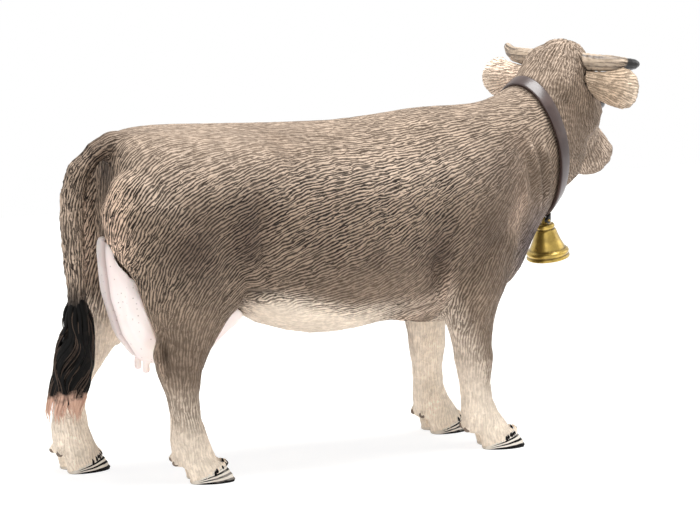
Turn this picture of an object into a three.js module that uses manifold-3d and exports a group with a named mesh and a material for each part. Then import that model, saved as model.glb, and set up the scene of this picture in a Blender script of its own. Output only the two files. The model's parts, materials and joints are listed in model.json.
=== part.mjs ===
// Toy cow figure: a solid moulded plastic animal glued up from its mouldings, with a strap and a
// swinging bell round the neck. Millimetres, +Z up, +X the way the cow walks, +Y its left.
import * as THREE from "three";
import { mergeVertices } from "three/addons/utils/BufferGeometryUtils.js";
import Module from "manifold-3d";

const wasm = await Module();
wasm.setup();

// Driving sizes of the animal
const withersHeight = 75;
const trunkLength = 100;
const trunkHalfWidth = 20.5;
const neckTurn = THREE.MathUtils.degToRad(20);

// Joints between the glued mouldings
const glueGap = 0.3;
const socketClearance = 0.3;
const pegRoot = 1;
const overrun = 60;
const legSplitHeight = 27;
const legPegRadius = 2;
const legPegLength = 7;
const neckPlugRadius = 4.5;
const neckPlugLength = 9;
const tailPegRadius = 1.3;
const tailPegLength = 4;
const udderPegRadius = 2.2;
const udderPegLength = 6;
const earPegRadius = 0.9;
const earPegLength = 4;
const hornPegRadius = 1;
const hornPegLength = 3.2;

// Legs and hooves
const hindLegHalfLength = 16;
const hindLegHalfWidth = 8;
const foreLegHalfLength = 9.5;
const foreLegHalfWidth = 6.6;
const clawLength = 10.4;
const clawHalfWidth = 2.15;
const clawHeight = 5;
const clawGap = 0.25;
const dewclawRadius = 1;

// Head
const headLength = 34.5;
const headHalfWidth = 7.3;
const headHalfHeight = 10.6;
const headYaw = THREE.MathUtils.degToRad(38);
const headPitch = THREE.MathUtils.degToRad(39.5);
const headRoll = THREE.MathUtils.degToRad(2);
const earLength = 13.4;
const earHalfWidth = 4.7;
const earHalfThickness = 0.75;
const earCup = 1.8;
const hornLength = 12.6;
const hornRadius = 2;

// Tail and udder
const tailRadius = 2.6;
const switchRadius = 5;
const udderHalfWidth = 8.3;
const teatRadius = 0.85;
const teatLength = 3.8;

// Strap, hanger and bell
const strapWidth = 3;
const strapThickness = 0.9;
const strapClearance = 0.2;
const hangerWidth = 2.8;
const hangerLength = 1.4;
const hangerDrop = 0.85;
const hangerStudRadius = 0.5;
const hangerStudLength = 0.6;
const cheekThickness = 0.7;
const pinRadius = 0.3;
const pinOverhang = 0.3;
const runningClearance = 0.08;
const tabThickness = 0.9;
const tabRadius = 0.62;
const crownClearance = 0.2;
const bellHeight = 8;
const bellRimRadius = 5;
const bellWall = 0.6;
const bellTilt = THREE.MathUtils.degToRad(9);
const clapperBallRadius = 0.95;
const clapperRodRadius = 0.3;
const clapperDrop = 4.3;
const clapperDepth = 1.7;
const clapperPinLength = 3.6;
const clapperEyeRadius = 0.75;

// Facets
const trunkSides = 32;
const legSides = 18;
const tailSides = 12;
const headSides = 24;
const roundSides = 16;
const ballSides = 8;
const bellSides = 28;

const hide = { color: 0x97836f, roughness: 0.62, metalness: 0 };
const materials = {
  hide: new THREE.MeshStandardMaterial(hide),
  horn: new THREE.MeshStandardMaterial({ color: 0xd9c6a8, roughness: 0.45 }),
  udder: new THREE.MeshStandardMaterial({ color: 0xe6d0cf, roughness: 0.5 }),
  strap: new THREE.MeshStandardMaterial({ color: 0x4d3a37, roughness: 0.3 }),
  hanger: new THREE.MeshStandardMaterial({ color: 0x1d1a19, roughness: 0.4 }),
  bell: new THREE.MeshStandardMaterial({ color: 0xc9a244, roughness: 0.28, metalness: 1 }),
};

// Places on the animal: shares along the trunk, out from its middle plane and up from the ground
const rumpX = -0.53 * trunkLength;
const along = (share) => rumpX + share * trunkLength;
const outward = (share) => share * trunkHalfWidth;
const upward = (share) => share * withersHeight;
const place = (alongShare, outShare, upShare) =>
  new THREE.Vector3(along(alongShare), outward(outShare), upward(upShare));

// A row of a table of shares at a fractional row number, on a Catmull-Rom curve through the rows
function rowAt(rows, number) {
  const last = rows.length - 1;
  const row = Math.min(Math.floor(number), last - 1);
  const t = number - row;
  return rows[0].map((_, column) => {
    const value = (index) => rows[Math.max(0, Math.min(last, index))][column];
    const [a, b, c, d] = [value(row - 1), value(row), value(row + 1), value(row + 2)];
    const slope = c - a;
    const bend = 2 * a - 5 * b + 4 * c - d;
    const twist = 3 * b - a - 3 * c + d;
    return b + (slope * t + bend * t ** 2 + twist * t ** 3) / 2;
  });
}

// Fractional row numbers from the first row to the last, evenly stepped
function rowNumbers(rows, stepsPerRow = 1) {
  const steps = (rows.length - 1) * stepsPerRow;
  return Array.from({ length: steps + 1 }, (_, step) => step / stepsPerRow);
}

// The fraction of a row that directions are measured over
const directionStep = 0.25;

// A closed manifold solid from a three.js geometry
function solidOf(geometry) {
  const bare = geometry.clone();
  bare.deleteAttribute("normal");
  bare.deleteAttribute("uv");
  const merged = mergeVertices(bare);
  const mesh = new wasm.Mesh({
    numProp: 3,
    vertProperties: new Float32Array(merged.attributes.position.array),
    triVerts: new Uint32Array(merged.index.array),
  });
  return new wasm.Manifold(mesh);
}

// A named mesh from a manifold solid
function meshOf(name, solid, material) {
  const { vertProperties, triVerts } = solid.getMesh();
  const geometry = new THREE.BufferGeometry();
  geometry.setAttribute("position", new THREE.BufferAttribute(vertProperties, 3));
  geometry.setIndex(new THREE.BufferAttribute(triVerts, 1));
  geometry.computeVertexNormals();
  const mesh = new THREE.Mesh(geometry, material);
  mesh.name = name;
  return mesh;
}

// A solid skinned over rings of points, closed at both ends by a fan on each ring's middle
function loft(rings) {
  const sides = rings[0].length;
  const middle = (ring) =>
    ring.reduce((sum, point) => sum.add(point), new THREE.Vector3()).divideScalar(sides);
  const points = [...rings.flat(), middle(rings[0]), middle(rings.at(-1))];
  const firstMiddle = points.length - 2;
  const lastMiddle = points.length - 1;
  const lastRing = (rings.length - 1) * sides;
  const triangles = [];
  for (let side = 0; side < sides; side++) {
    const next = (side + 1) % sides;
    for (let ring = 0; ring < lastRing; ring += sides) {
      triangles.push(ring + side, ring + next, ring + sides + next);
      triangles.push(ring + side, ring + sides + next, ring + sides + side);
    }
    triangles.push(firstMiddle, next, side);
    triangles.push(lastMiddle, lastRing + side, lastRing + next);
  }
  const geometry = new THREE.BufferGeometry().setFromPoints(points);
  geometry.setIndex(triangles);
  const solid = solidOf(geometry);
  if (solid.volume() > 0) return solid;
  for (let corner = 0; corner < triangles.length; corner += 3)
    [triangles[corner], triangles[corner + 1]] = [triangles[corner + 1], triangles[corner]];
  geometry.setIndex(triangles);
  return solidOf(geometry);
}

// One ring: a rounded outline about a centre, with its own reach towards each of its two axes
function ringAt(centre, across, upwards, reach, fullness, sides) {
  return Array.from({ length: sides }, (_, side) => {
    const angle = (2 * Math.PI * side) / sides;
    const [c, s] = [Math.cos(angle), Math.sin(angle)];
    const power = 2 / (s >= 0 ? fullness.upper : fullness.lower);
    const height = s >= 0 ? reach.up : reach.down;
    return centre
      .clone()
      .addScaledVector(across, reach.half * Math.sign(c) * Math.abs(c) ** power)
      .addScaledVector(upwards, height * Math.sign(s) * Math.abs(s) ** power);
  });
}

const round = { upper: 2, lower: 2 };
const unitX = new THREE.Vector3(1, 0, 0);
const unitY = new THREE.Vector3(0, 1, 0);
const unitZ = new THREE.Vector3(0, 0, 1);

// A round bar between two points
function bar(from, to, radius, sides = roundSides) {
  const axis = to.clone().sub(from);
  const geometry = new THREE.CylinderGeometry(radius, radius, axis.length(), sides);
  const turn = new THREE.Quaternion().setFromUnitVectors(unitY, axis.clone().normalize());
  const middle = from.clone().add(to).divideScalar(2);
  geometry.applyMatrix4(new THREE.Matrix4().compose(middle, turn, new THREE.Vector3(1, 1, 1)));
  return solidOf(geometry);
}

// A peg from a seat into its neighbour, and the socket that takes it
const peg = (seat, direction, radius, length) =>
  bar(
    seat.clone().addScaledVector(direction, -pegRoot),
    seat.clone().addScaledVector(direction, length),
    radius,
  );
const socket = (seat, direction, radius, length) =>
  bar(
    seat.clone().addScaledVector(direction, -socketClearance),
    seat.clone().addScaledVector(direction, length + socketClearance),
    radius + socketClearance,
  );

// Everything on the side of a plane that its normal points to
function beyond(point, normal) {
  const geometry = new THREE.BoxGeometry(overrun * 4, overrun * 4, overrun * 4);
  geometry.translate(0, 0, overrun * 2);
  const turn = new THREE.Quaternion().setFromUnitVectors(unitZ, normal.clone().normalize());
  geometry.applyMatrix4(new THREE.Matrix4().compose(point, turn, new THREE.Vector3(1, 1, 1)));
  return solidOf(geometry);
}

// Trunk and neck. Each row is one section of the body, from rump to skull: where its top and its
// bottom lie along and up, how far the neck has swung to the left and turned, its half width,
// how far up it is widest, and how full it is above and below that.
// along top, up top, along bottom, up bottom, swing, turn, width, widest, upper, lower
const trunkShares = [
  [0.015, 0.92, 0.01, 0.715, 0, 0, 0.15, 0.5, 2, 2],
  [0.025, 0.964, 0.015, 0.64, 0, 0, 0.46, 0.52, 2.2, 2],
  [0.055, 0.988, 0.04, 0.575, 0, 0, 0.68, 0.54, 2.4, 2],
  [0.11, 0.997, 0.095, 0.535, 0, 0, 0.83, 0.56, 2.6, 2],
  [0.19, 0.996, 0.18, 0.513, 0, 0, 0.92, 0.56, 2.6, 2],
  [0.27, 0.991, 0.26, 0.49, 0, 0, 0.965, 0.54, 2.5, 2.1],
  [0.36, 0.988, 0.35, 0.418, 0, 0, 0.99, 0.5, 2.3, 2.3],
  [0.46, 0.985, 0.46, 0.38, 0, 0, 1, 0.47, 2.1, 2.4],
  [0.555, 0.984, 0.56, 0.383, 0, 0, 0.99, 0.46, 2, 2.4],
  [0.64, 0.992, 0.65, 0.397, 0, 0, 0.945, 0.46, 1.9, 2.3],
  [0.71, 1.001, 0.73, 0.374, 0, 0, 0.885, 0.47, 1.8, 2],
  [0.77, 1.005, 0.81, 0.367, 0, 0, 0.845, 0.5, 1.75, 1.8],
  [0.825, 1.005, 0.87, 0.378, 0, 0, 0.795, 0.53, 1.75, 1.5],
  [0.87, 1.005, 0.93, 0.415, 0, 0.05, 0.71, 0.56, 1.8, 1.25],
  [0.91, 1.009, 0.98, 0.473, 0.015, 0.2, 0.605, 0.57, 1.85, 1.2],
  [0.948, 1.018, 1.015, 0.537, 0.045, 0.4, 0.53, 0.56, 1.9, 1.25],
  [0.982, 1.031, 1.047, 0.604, 0.09, 0.6, 0.485, 0.55, 1.95, 1.4],
  [1.016, 1.05, 1.08, 0.674, 0.145, 0.8, 0.455, 0.54, 2, 1.7],
  [1.05, 1.092, 1.118, 0.716, 0.215, 1, 0.43, 0.54, 2, 1.8],
  [1.08, 1.143, 1.16, 0.745, 0.3, 1.3, 0.385, 0.54, 2, 1.9],
  [1.105, 1.15, 1.185, 0.8, 0.4, 1.6, 0.27, 0.54, 2, 2],
];
const collarRow = 17;

function trunkSection(number) {
  const row = rowAt(trunkShares, number);
  const [alongTop, upTop, alongBottom, upBottom, swing, turn, width, widest, upper, lower] = row;
  const top = place(alongTop, swing, upTop);
  const bottom = place(alongBottom, swing, upBottom);
  const yaw = turn * neckTurn;
  return {
    top,
    bottom,
    across: new THREE.Vector3(-Math.sin(yaw), Math.cos(yaw), 0),
    upwards: top.clone().sub(bottom).normalize(),
    centre: bottom.clone().lerp(top, widest),
    height: top.distanceTo(bottom),
    halfWidth: outward(width),
    widest,
    fullness: { upper, lower },
  };
}

function trunkRing(number, growth = 0) {
  const { centre, across, upwards, height, halfWidth, widest, fullness } = trunkSection(number);
  const reach = {
    half: halfWidth + growth,
    up: height * (1 - widest) + growth,
    down: height * widest + growth,
  };
  return ringAt(centre, across, upwards, reach, fullness, trunkSides);
}

const trunkAndNeck = (growth = 0) =>
  loft(rowNumbers(trunkShares, 2).map((number) => trunkRing(number, growth)));

// Legs. Each row is one level section from the top down: up, along, out, half length, half width.
const rightHindShares = [
  [0.92, 0.12, 0.42, 0.4, 0.4],
  [0.87, 0.115, 0.45, 0.76, 0.7],
  [0.8, 0.12, 0.49, 0.985, 0.93],
  [0.72, 0.135, 0.525, 1.045, 0.98],
  [0.653, 0.147, 0.54, 0.985, 0.925],
  [0.593, 0.155, 0.54, 0.895, 0.83],
  [0.533, 0.159, 0.525, 0.735, 0.725],
  [0.48, 0.158, 0.505, 0.57, 0.65],
  [0.427, 0.154, 0.49, 0.43, 0.59],
  [0.373, 0.138, 0.475, 0.385, 0.56],
  [0.32, 0.136, 0.46, 0.306, 0.5],
  [0.253, 0.143, 0.455, 0.22, 0.39],
  [0.187, 0.15, 0.45, 0.205, 0.365],
  [0.127, 0.158, 0.445, 0.255, 0.46],
  [0.087, 0.167, 0.44, 0.275, 0.5],
  [0.047, 0.178, 0.44, 0.31, 0.53],
];
const leftHindShares = [
  [0.92, 0.12, 0.42, 0.4, 0.4],
  [0.87, 0.115, 0.45, 0.76, 0.7],
  [0.8, 0.118, 0.49, 0.95, 0.93],
  [0.72, 0.12, 0.53, 0.96, 0.98],
  [0.653, 0.117, 0.555, 0.88, 0.925],
  [0.593, 0.108, 0.57, 0.76, 0.83],
  [0.533, 0.092, 0.57, 0.64, 0.725],
  [0.48, 0.07, 0.565, 0.55, 0.65],
  [0.427, 0.045, 0.56, 0.462, 0.59],
  [0.373, 0.022, 0.56, 0.385, 0.56],
  [0.32, 0, 0.56, 0.306, 0.5],
  [0.253, -0.022, 0.56, 0.225, 0.39],
  [0.187, -0.032, 0.56, 0.21, 0.365],
  [0.127, -0.032, 0.56, 0.255, 0.46],
  [0.087, -0.025, 0.56, 0.28, 0.5],
  [0.047, -0.013, 0.56, 0.31, 0.53],
];
const rightForeShares = [
  [0.693, 0.84, 0.39, 0.9, 0.8],
  [0.613, 0.838, 0.44, 1, 0.97],
  [0.533, 0.83, 0.465, 0.96, 1],
  [0.48, 0.824, 0.47, 0.87, 0.91],
  [0.44, 0.821, 0.465, 0.74, 0.8],
  [0.393, 0.824, 0.46, 0.6, 0.71],
  [0.347, 0.83, 0.45, 0.51, 0.64],
  [0.307, 0.833, 0.445, 0.45, 0.59],
  [0.267, 0.837, 0.44, 0.45, 0.6],
  [0.2, 0.842, 0.435, 0.37, 0.47],
  [0.147, 0.848, 0.43, 0.38, 0.48],
  [0.107, 0.857, 0.43, 0.44, 0.57],
  [0.073, 0.869, 0.43, 0.52, 0.62],
  [0.047, 0.879, 0.43, 0.56, 0.65],
];
const leftForeShares = [
  [0.693, 0.84, 0.39, 0.9, 0.8],
  [0.613, 0.835, 0.44, 1, 0.97],
  [0.533, 0.82, 0.47, 0.96, 1],
  [0.48, 0.813, 0.475, 0.87, 0.91],
  [0.44, 0.811, 0.475, 0.74, 0.8],
  [0.393, 0.813, 0.475, 0.6, 0.71],
  [0.347, 0.815, 0.475, 0.5, 0.64],
  [0.307, 0.817, 0.475, 0.45, 0.59],
  [0.267, 0.819, 0.475, 0.43, 0.6],
  [0.2, 0.82, 0.475, 0.36, 0.47],
  [0.147, 0.823, 0.475, 0.37, 0.48],
  [0.107, 0.829, 0.475, 0.43, 0.57],
  [0.073, 0.84, 0.475, 0.51, 0.62],
  [0.047, 0.848, 0.475, 0.56, 0.65],
];

// The four legs: their rows, the side they stand on, their widest sizes and their toes' place
const legs = [
  { name: "right_hind_leg", rows: rightHindShares, side: -1, hind: true, toeShare: 0.205 },
  { name: "left_hind_leg", rows: leftHindShares, side: 1, hind: true, toeShare: 0 },
  { name: "right_foreleg", rows: rightForeShares, side: -1, hind: false, toeShare: 0.907 },
  { name: "left_foreleg", rows: leftForeShares, side: 1, hind: false, toeShare: 0.866 },
];

function legSection(leg, number) {
  const [up, alongShare, out, length, width] = rowAt(leg.rows, number);
  return {
    centre: place(alongShare, out * leg.side, up),
    halfLength: length * (leg.hind ? hindLegHalfLength : foreLegHalfLength),
    halfWidth: width * (leg.hind ? hindLegHalfWidth : foreLegHalfWidth),
  };
}

function legLoft(leg, growth = 0) {
  const rings = rowNumbers(leg.rows).map((number) => {
    const { centre, halfLength, halfWidth } = legSection(leg, number);
    const reach = { half: halfLength + growth, up: halfWidth + growth, down: halfWidth + growth };
    return ringAt(centre, unitX, unitY, reach, round, legSides);
  });
  return loft(rings);
}

// One claw of a cloven hoof, from its flat sole up to the hair: up, forward shift, length, width
const clawShares = [
  [0, 0, 0.96, 0.94],
  [0.12, 0, 1, 1],
  [0.5, -0.07, 0.9, 0.98],
  [0.8, -0.13, 0.76, 0.88],
  [1, -0.18, 0.55, 0.66],
];
const clawToeFullness = 1.55;
const clawHeelFullness = 2.6;

function claw(toeX, y) {
  const rings = clawShares.map(([up, shift, length, width]) => {
    const centre = new THREE.Vector3(toeX + shift * clawLength, y, up * clawHeight);
    const half = (length * clawLength) / 2;
    const reach = { half: width * clawHalfWidth, up: half, down: half };
    const fullness = { upper: clawToeFullness, lower: clawHeelFullness };
    return ringAt(centre, unitY, unitX, reach, fullness, legSides);
  });
  return loft(rings);
}

const dewclawBackShare = 0.82;
const dewclawUpShare = 0.064;
const dewclawOutShare = 0.5;

function hoof(leg) {
  const foot = legSection(leg, leg.rows.length - 2);
  const clawOffset = clawHalfWidth + clawGap / 2;
  const parts = [-1, 1].map((side) =>
    claw(along(leg.toeShare), foot.centre.y + side * clawOffset),
  );
  for (const side of [-1, 1]) {
    const ball = new THREE.SphereGeometry(dewclawRadius, ballSides, ballSides / 2);
    ball.translate(
      foot.centre.x - dewclawBackShare * foot.halfLength,
      foot.centre.y + side * dewclawOutShare * foot.halfWidth,
      upward(dewclawUpShare),
    );
    parts.push(solidOf(ball));
  }
  return parts.reduce((whole, part) => whole.add(part));
}

// Where a leg is glued to the body: a level seat through the middle of its section at that height
function legSeat(leg) {
  let number = 0;
  while (legSection(leg, number).centre.z > legSplitHeight) number += directionStep;
  const { centre } = legSection(leg, number);
  return new THREE.Vector3(centre.x, centre.y, legSplitHeight);
}

// Tail, from inside the rump to the end of the switch: along, up, out, half depth, half width
const tailShares = [
  [0.12, 0.945, 0, 0.85, 1.15],
  [0.07, 0.956, 0, 1.08, 1.3],
  [0.025, 0.958, 0, 1.1, 1.23],
  [-0.015, 0.941, 0, 1.08, 1.15],
  [-0.045, 0.893, 0, 1.04, 1.08],
  [-0.061, 0.82, 0.005, 1, 1],
  [-0.063, 0.733, 0.015, 0.94, 0.94],
  [-0.058, 0.647, 0.03, 0.87, 0.88],
  [-0.052, 0.56, 0.05, 0.92, 0.88],
];
const switchShares = [
  [-0.049, 0.493, 0.063, 0.64, 0.52],
  [-0.051, 0.413, 0.078, 0.84, 0.64],
  [-0.059, 0.333, 0.088, 0.94, 0.7],
  [-0.07, 0.26, 0.098, 1, 0.68],
  [-0.08, 0.207, 0.102, 0.7, 0.46],
];
const tailJointRow = 3;

const tailRows = [
  ...tailShares.map(([a, u, o, depth, width]) => [a, u, o, depth * tailRadius, width * tailRadius]),
  ...switchShares.map(([a, u, o, depth, width]) => [
    a,
    u,
    o,
    depth * switchRadius,
    width * switchRadius,
  ]),
];

function tailCentre(number) {
  const [alongShare, up, out] = rowAt(tailRows, number);
  return place(alongShare, out, up);
}

function tailDirection(number) {
  const before = tailCentre(Math.max(0, number - directionStep));
  const after = tailCentre(Math.min(tailRows.length - 1, number + directionStep));
  return after.sub(before).normalize();
}

function tailLoft() {
  const rings = rowNumbers(tailRows).map((number) => {
    const [, , , depth, width] = rowAt(tailRows, number);
    const back = tailDirection(number).cross(unitY).normalize();
    const reach = { half: width, up: depth, down: depth };
    return ringAt(tailCentre(number), unitY, back, reach, round, tailSides);
  });
  return loft(rings);
}

// Udder, from behind forwards: along, up top, up bottom, half width; then the four teats
const udderShares = [
  [-0.002, 0.7, 0.63, 0.25],
  [0.01, 0.7, 0.52, 0.54],
  [0.035, 0.68, 0.436, 0.78],
  [0.07, 0.64, 0.38, 0.92],
  [0.12, 0.6, 0.342, 0.99],
  [0.18, 0.58, 0.335, 1],
  [0.24, 0.55, 0.362, 0.94],
  [0.29, 0.52, 0.415, 0.76],
  [0.33, 0.5, 0.46, 0.46],
  [0.35, 0.49, 0.475, 0.2],
];
const teatPlaceShares = [
  [0.09, 0.11],
  [0.18, 0.15],
];
const teatRootShare = 0.375;
const udderSeatShares = { along: 0.15, up: 0.5 };

function udderLoft() {
  const rings = rowNumbers(udderShares).map((number) => {
    const [alongShare, upTop, upBottom, width] = rowAt(udderShares, number);
    const half = upward(upTop - upBottom) / 2;
    const centre = place(alongShare, 0, (upTop + upBottom) / 2);
    const reach = { half: width * udderHalfWidth, up: half, down: half };
    return ringAt(centre, unitY, unitZ, reach, { upper: 2.2, lower: 2.2 }, legSides);
  });
  return loft(rings);
}

function teat(alongShare, outShare) {
  const tip = new THREE.SphereGeometry(teatRadius, ballSides, ballSides / 2);
  const root = place(alongShare, outShare, teatRootShare);
  const end = root.clone().addScaledVector(unitZ, -teatLength);
  tip.translate(end.x, end.y, end.z);
  return bar(root, end, teatRadius, ballSides).add(solidOf(tip));
}

// Head, in its own frame: its axis runs from inside the poll to the muzzle
const headPlaceShares = [1.082, 0.1, 1.062];
const headRootPoint = place(...headPlaceShares);
const headTurnOrder = new THREE.Euler(headRoll, headPitch, headYaw, "ZYX");
const headTurn = new THREE.Quaternion().setFromEuler(headTurnOrder);
const headForward = unitX.clone().applyQuaternion(headTurn);
const headLeft = unitY.clone().applyQuaternion(headTurn);
const headUp = unitZ.clone().applyQuaternion(headTurn);
const headPoint = (alongShare, outShare, upShare) =>
  headRootPoint
    .clone()
    .addScaledVector(headForward, alongShare * headLength)
    .addScaledVector(headLeft, outShare * headHalfWidth)
    .addScaledVector(headUp, upShare * headHalfHeight);

// along, half width, top, bottom, upper fullness, lower fullness
const headShares = [
  [-0.05, 0.5, 0.72, 0.25, 2.4, 2],
  [0.0, 0.8, 0.95, 0.55, 2.6, 2],
  [0.07, 0.93, 1.07, 0.78, 2.7, 2],
  [0.16, 1.03, 1.05, 0.9, 2.6, 2.1],
  [0.27, 1.18, 0.91, 0.98, 2.5, 2.1],
  [0.38, 1.2, 0.77, 0.98, 2.5, 2],
  [0.49, 0.95, 0.64, 0.84, 2.3, 1.9],
  [0.6, 0.69, 0.52, 0.65, 2.2, 1.9],
  [0.72, 0.64, 0.43, 0.54, 2.2, 2.1],
  [0.82, 0.77, 0.4, 0.54, 2.3, 2.3],
  [0.91, 0.8, 0.37, 0.55, 2.4, 2.4],
  [0.975, 0.62, 0.27, 0.42, 2.2, 2.2],
  [1.0, 0.36, 0.12, 0.26, 2, 2],
];

function skull(growth = 0) {
  const rings = rowNumbers(headShares).map((number) => {
    const [alongShare, width, top, bottom, upper, lower] = rowAt(headShares, number);
    const reach = {
      half: width * headHalfWidth + growth,
      up: top * headHalfHeight + growth,
      down: bottom * headHalfHeight + growth,
    };
    const centre = headPoint(alongShare, 0, 0);
    return ringAt(centre, headLeft, headUp, reach, { upper, lower }, headSides);
  });
  return loft(rings);
}

// Ears: cupped paddles. Each row is one section from root to tip: along, half width, cup, half
// thickness
const earShares = [
  [0, 0.55, 0.5, 2.2],
  [0.14, 0.74, 0.8, 1.9],
  [0.34, 0.91, 1, 1.3],
  [0.56, 1, 0.9, 1],
  [0.76, 0.99, 0.75, 0.95],
  [0.9, 0.78, 0.5, 0.85],
  [0.98, 0.42, 0.2, 0.6],
  [1, 0.14, 0.05, 0.25],
];
const earSeatShare = 0.25;
const earRootShares = [0.12, 0.8, 0.3];
const earSides = 16;

function earFrame(side) {
  const root = headPoint(earRootShares[0], earRootShares[1] * side, earRootShares[2]);
  const reach = headLeft.clone().multiplyScalar(side);
  reach.addScaledVector(headForward, 0.17).addScaledVector(headUp, -0.1).normalize();
  const tall = unitZ.clone().addScaledVector(reach, -unitZ.dot(reach)).normalize();
  const facing = reach.clone().cross(tall).multiplyScalar(side).normalize();
  return { root, reach, tall, facing };
}

function earLoft(side) {
  const { root, reach, tall, facing } = earFrame(side);
  const rings = rowNumbers(earShares).map((number) => {
    const [alongShare, width, cup, thickness] = rowAt(earShares, number);
    return Array.from({ length: earSides }, (_, index) => {
      const angle = (2 * Math.PI * index) / earSides;
      const spread = Math.cos(angle);
      const bowl = cup * earCup * spread ** 2;
      const depth = thickness * earHalfThickness * Math.sin(angle);
      return root
        .clone()
        .addScaledVector(reach, alongShare * earLength)
        .addScaledVector(tall, width * earHalfWidth * spread)
        .addScaledVector(facing, depth + bowl);
    });
  });
  return loft(rings);
}

// Horns: out from the poll, then forwards and up. along, out, up, radius
const hornShares = [
  [0, 0, 0, 1],
  [0.02, 0.3, -0.01, 0.98],
  [0.08, 0.58, 0.04, 0.92],
  [0.2, 0.82, 0.12, 0.84],
  [0.34, 0.97, 0.23, 0.64],
  [0.4, 1.01, 0.29, 0.24],
];
const hornRootShares = [0.07, 0.5, 0.64];
const hornSides = 12;

function hornPoint(side, number) {
  const [forwards, out, up] = rowAt(hornShares, number);
  return headPoint(hornRootShares[0], hornRootShares[1] * side, hornRootShares[2])
    .addScaledVector(headForward, forwards * hornLength)
    .addScaledVector(headLeft, out * hornLength * side)
    .addScaledVector(headUp, up * hornLength);
}

function hornLoft(side, growth = 0) {
  const rings = rowNumbers(hornShares, 2).map((number) => {
    const before = hornPoint(side, Math.max(0, number - directionStep));
    const after = hornPoint(side, Math.min(hornShares.length - 1, number + directionStep));
    const direction = after.sub(before).normalize();
    const first = direction.clone().cross(headUp).normalize();
    const second = direction.clone().cross(first);
    const radius = rowAt(hornShares, number)[3] * hornRadius + growth;
    const reach = { half: radius, up: radius, down: radius };
    return ringAt(hornPoint(side, number), first, second, reach, round, hornSides);
  });
  return loft(rings);
}

// The mouldings of the animal
const collar = trunkSection(collarRow);
const neckAxis = collar.upwards.clone().cross(collar.across).negate().normalize();
if (neckAxis.x < 0) neckAxis.negate();
const tailJoint = tailCentre(tailJointRow);
const tailAxis = tailDirection(tailJointRow);
const tailPegDirection = tailCentre(tailJointRow - 1).sub(tailJoint).normalize();
const legSolids = legs.map((leg) => legLoft(leg));
const aboveSplit = beyond(new THREE.Vector3(0, 0, legSplitHeight), unitZ);
const belowSplit = beyond(new THREE.Vector3(0, 0, legSplitHeight), unitZ.clone().negate());
const inFrontOfNeck = beyond(
  collar.centre.clone().addScaledVector(neckAxis, glueGap / 2),
  neckAxis,
);
const behindNeck = beyond(
  collar.centre.clone().addScaledVector(neckAxis, -glueGap / 2),
  neckAxis.clone().negate(),
);
const pastTailJoint = beyond(tailJoint.clone().addScaledVector(tailAxis, glueGap / 2), tailAxis);
const beforeTailJoint = beyond(
  tailJoint.clone().addScaledVector(tailAxis, -glueGap / 2),
  tailAxis.clone().negate(),
);

const neckAndTrunk = trunkAndNeck();
const wholeTail = tailLoft();
const udderSeat = place(udderSeatShares.along, 0, udderSeatShares.up);

// Body: trunk, shoulders and thighs down to the four leg seats, with a socket for each neighbour
let torso = legSolids
  .reduce((whole, leg) => whole.add(leg.intersect(aboveSplit)), neckAndTrunk.intersect(behindNeck))
  .add(wholeTail.intersect(beforeTailJoint));
for (const leg of legs)
  torso = torso.subtract(socket(legSeat(leg), unitZ, legPegRadius, legPegLength));
torso = torso
  .subtract(socket(collar.centre, neckAxis.clone().negate(), neckPlugRadius, neckPlugLength))
  .subtract(socket(tailJoint, tailPegDirection, tailPegRadius, tailPegLength))
  .subtract(socket(udderSeat, unitZ, udderPegRadius, udderPegLength));

const animal = new THREE.Group();
animal.add(meshOf("torso", torso, materials.hide));
const grownNeck = trunkAndNeck(glueGap);

for (const [index, leg] of legs.entries()) {
  const lower = legSolids[index]
    .add(hoof(leg))
    .intersect(belowSplit)
    .intersect(beyond(new THREE.Vector3(0, 0, 0), unitZ))
    .subtract(grownNeck)
    .add(peg(legSeat(leg), unitZ, legPegRadius, legPegLength));
  animal.add(meshOf(leg.name, lower, materials.hide));
}

// Head: skull and upper neck with the plug that the trunk takes, and sockets for ears and horns
const sides = [
  { name: "right", side: -1 },
  { name: "left", side: 1 },
];
const plug = peg(collar.centre, neckAxis.clone().negate(), neckPlugRadius, neckPlugLength);
let head = neckAndTrunk.intersect(inFrontOfNeck).add(skull());
head = head.intersect(inFrontOfNeck).add(plug);
const grownHead = neckAndTrunk.intersect(inFrontOfNeck).add(skull(glueGap));
for (const { name, side } of sides) {
  const { root, reach } = earFrame(side);
  const earSeat = root.clone().addScaledVector(reach, earSeatShare * earLength);
  const inwards = reach.clone().negate();
  head = head.subtract(socket(earSeat, inwards, earPegRadius, earPegLength));
  const ear = earLoft(side)
    .subtract(grownHead)
    .subtract(grownNeck)
    .subtract(hornLoft(side, glueGap))
    .add(bar(earSeat, earSeat.clone().addScaledVector(inwards, earPegLength), earPegRadius));
  animal.add(meshOf(`${name}_ear`, ear, materials.hide));
  const hornSeat = hornPoint(side, 1);
  const hornInwards = hornPoint(side, 0).sub(hornSeat).normalize();
  head = head.subtract(socket(hornSeat, hornInwards, hornPegRadius, hornPegLength));
  const horn = hornLoft(side)
    .subtract(grownHead)
    .add(bar(hornSeat, hornSeat.clone().addScaledVector(hornInwards, hornPegLength), hornPegRadius));
  animal.add(meshOf(`${name}_horn`, horn, materials.horn));
}
animal.add(meshOf("head", head, materials.hide));

// Tail and udder
const tail = wholeTail
  .intersect(pastTailJoint)
  .add(peg(tailJoint, tailPegDirection, tailPegRadius, tailPegLength));
animal.add(meshOf("tail", tail, materials.hide));

const grownBody = legs.reduce((whole, leg) => whole.add(legLoft(leg, glueGap)), grownNeck);
const udder = teatPlaceShares
  .flatMap(([alongShare, outShare]) => [teat(alongShare, outShare), teat(alongShare, -outShare)])
  .reduce((whole, part) => whole.add(part), udderLoft())
  .subtract(grownBody)
  .add(peg(udderSeat, unitZ, udderPegRadius, udderPegLength));
animal.add(meshOf("udder", udder, materials.udder));

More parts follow.
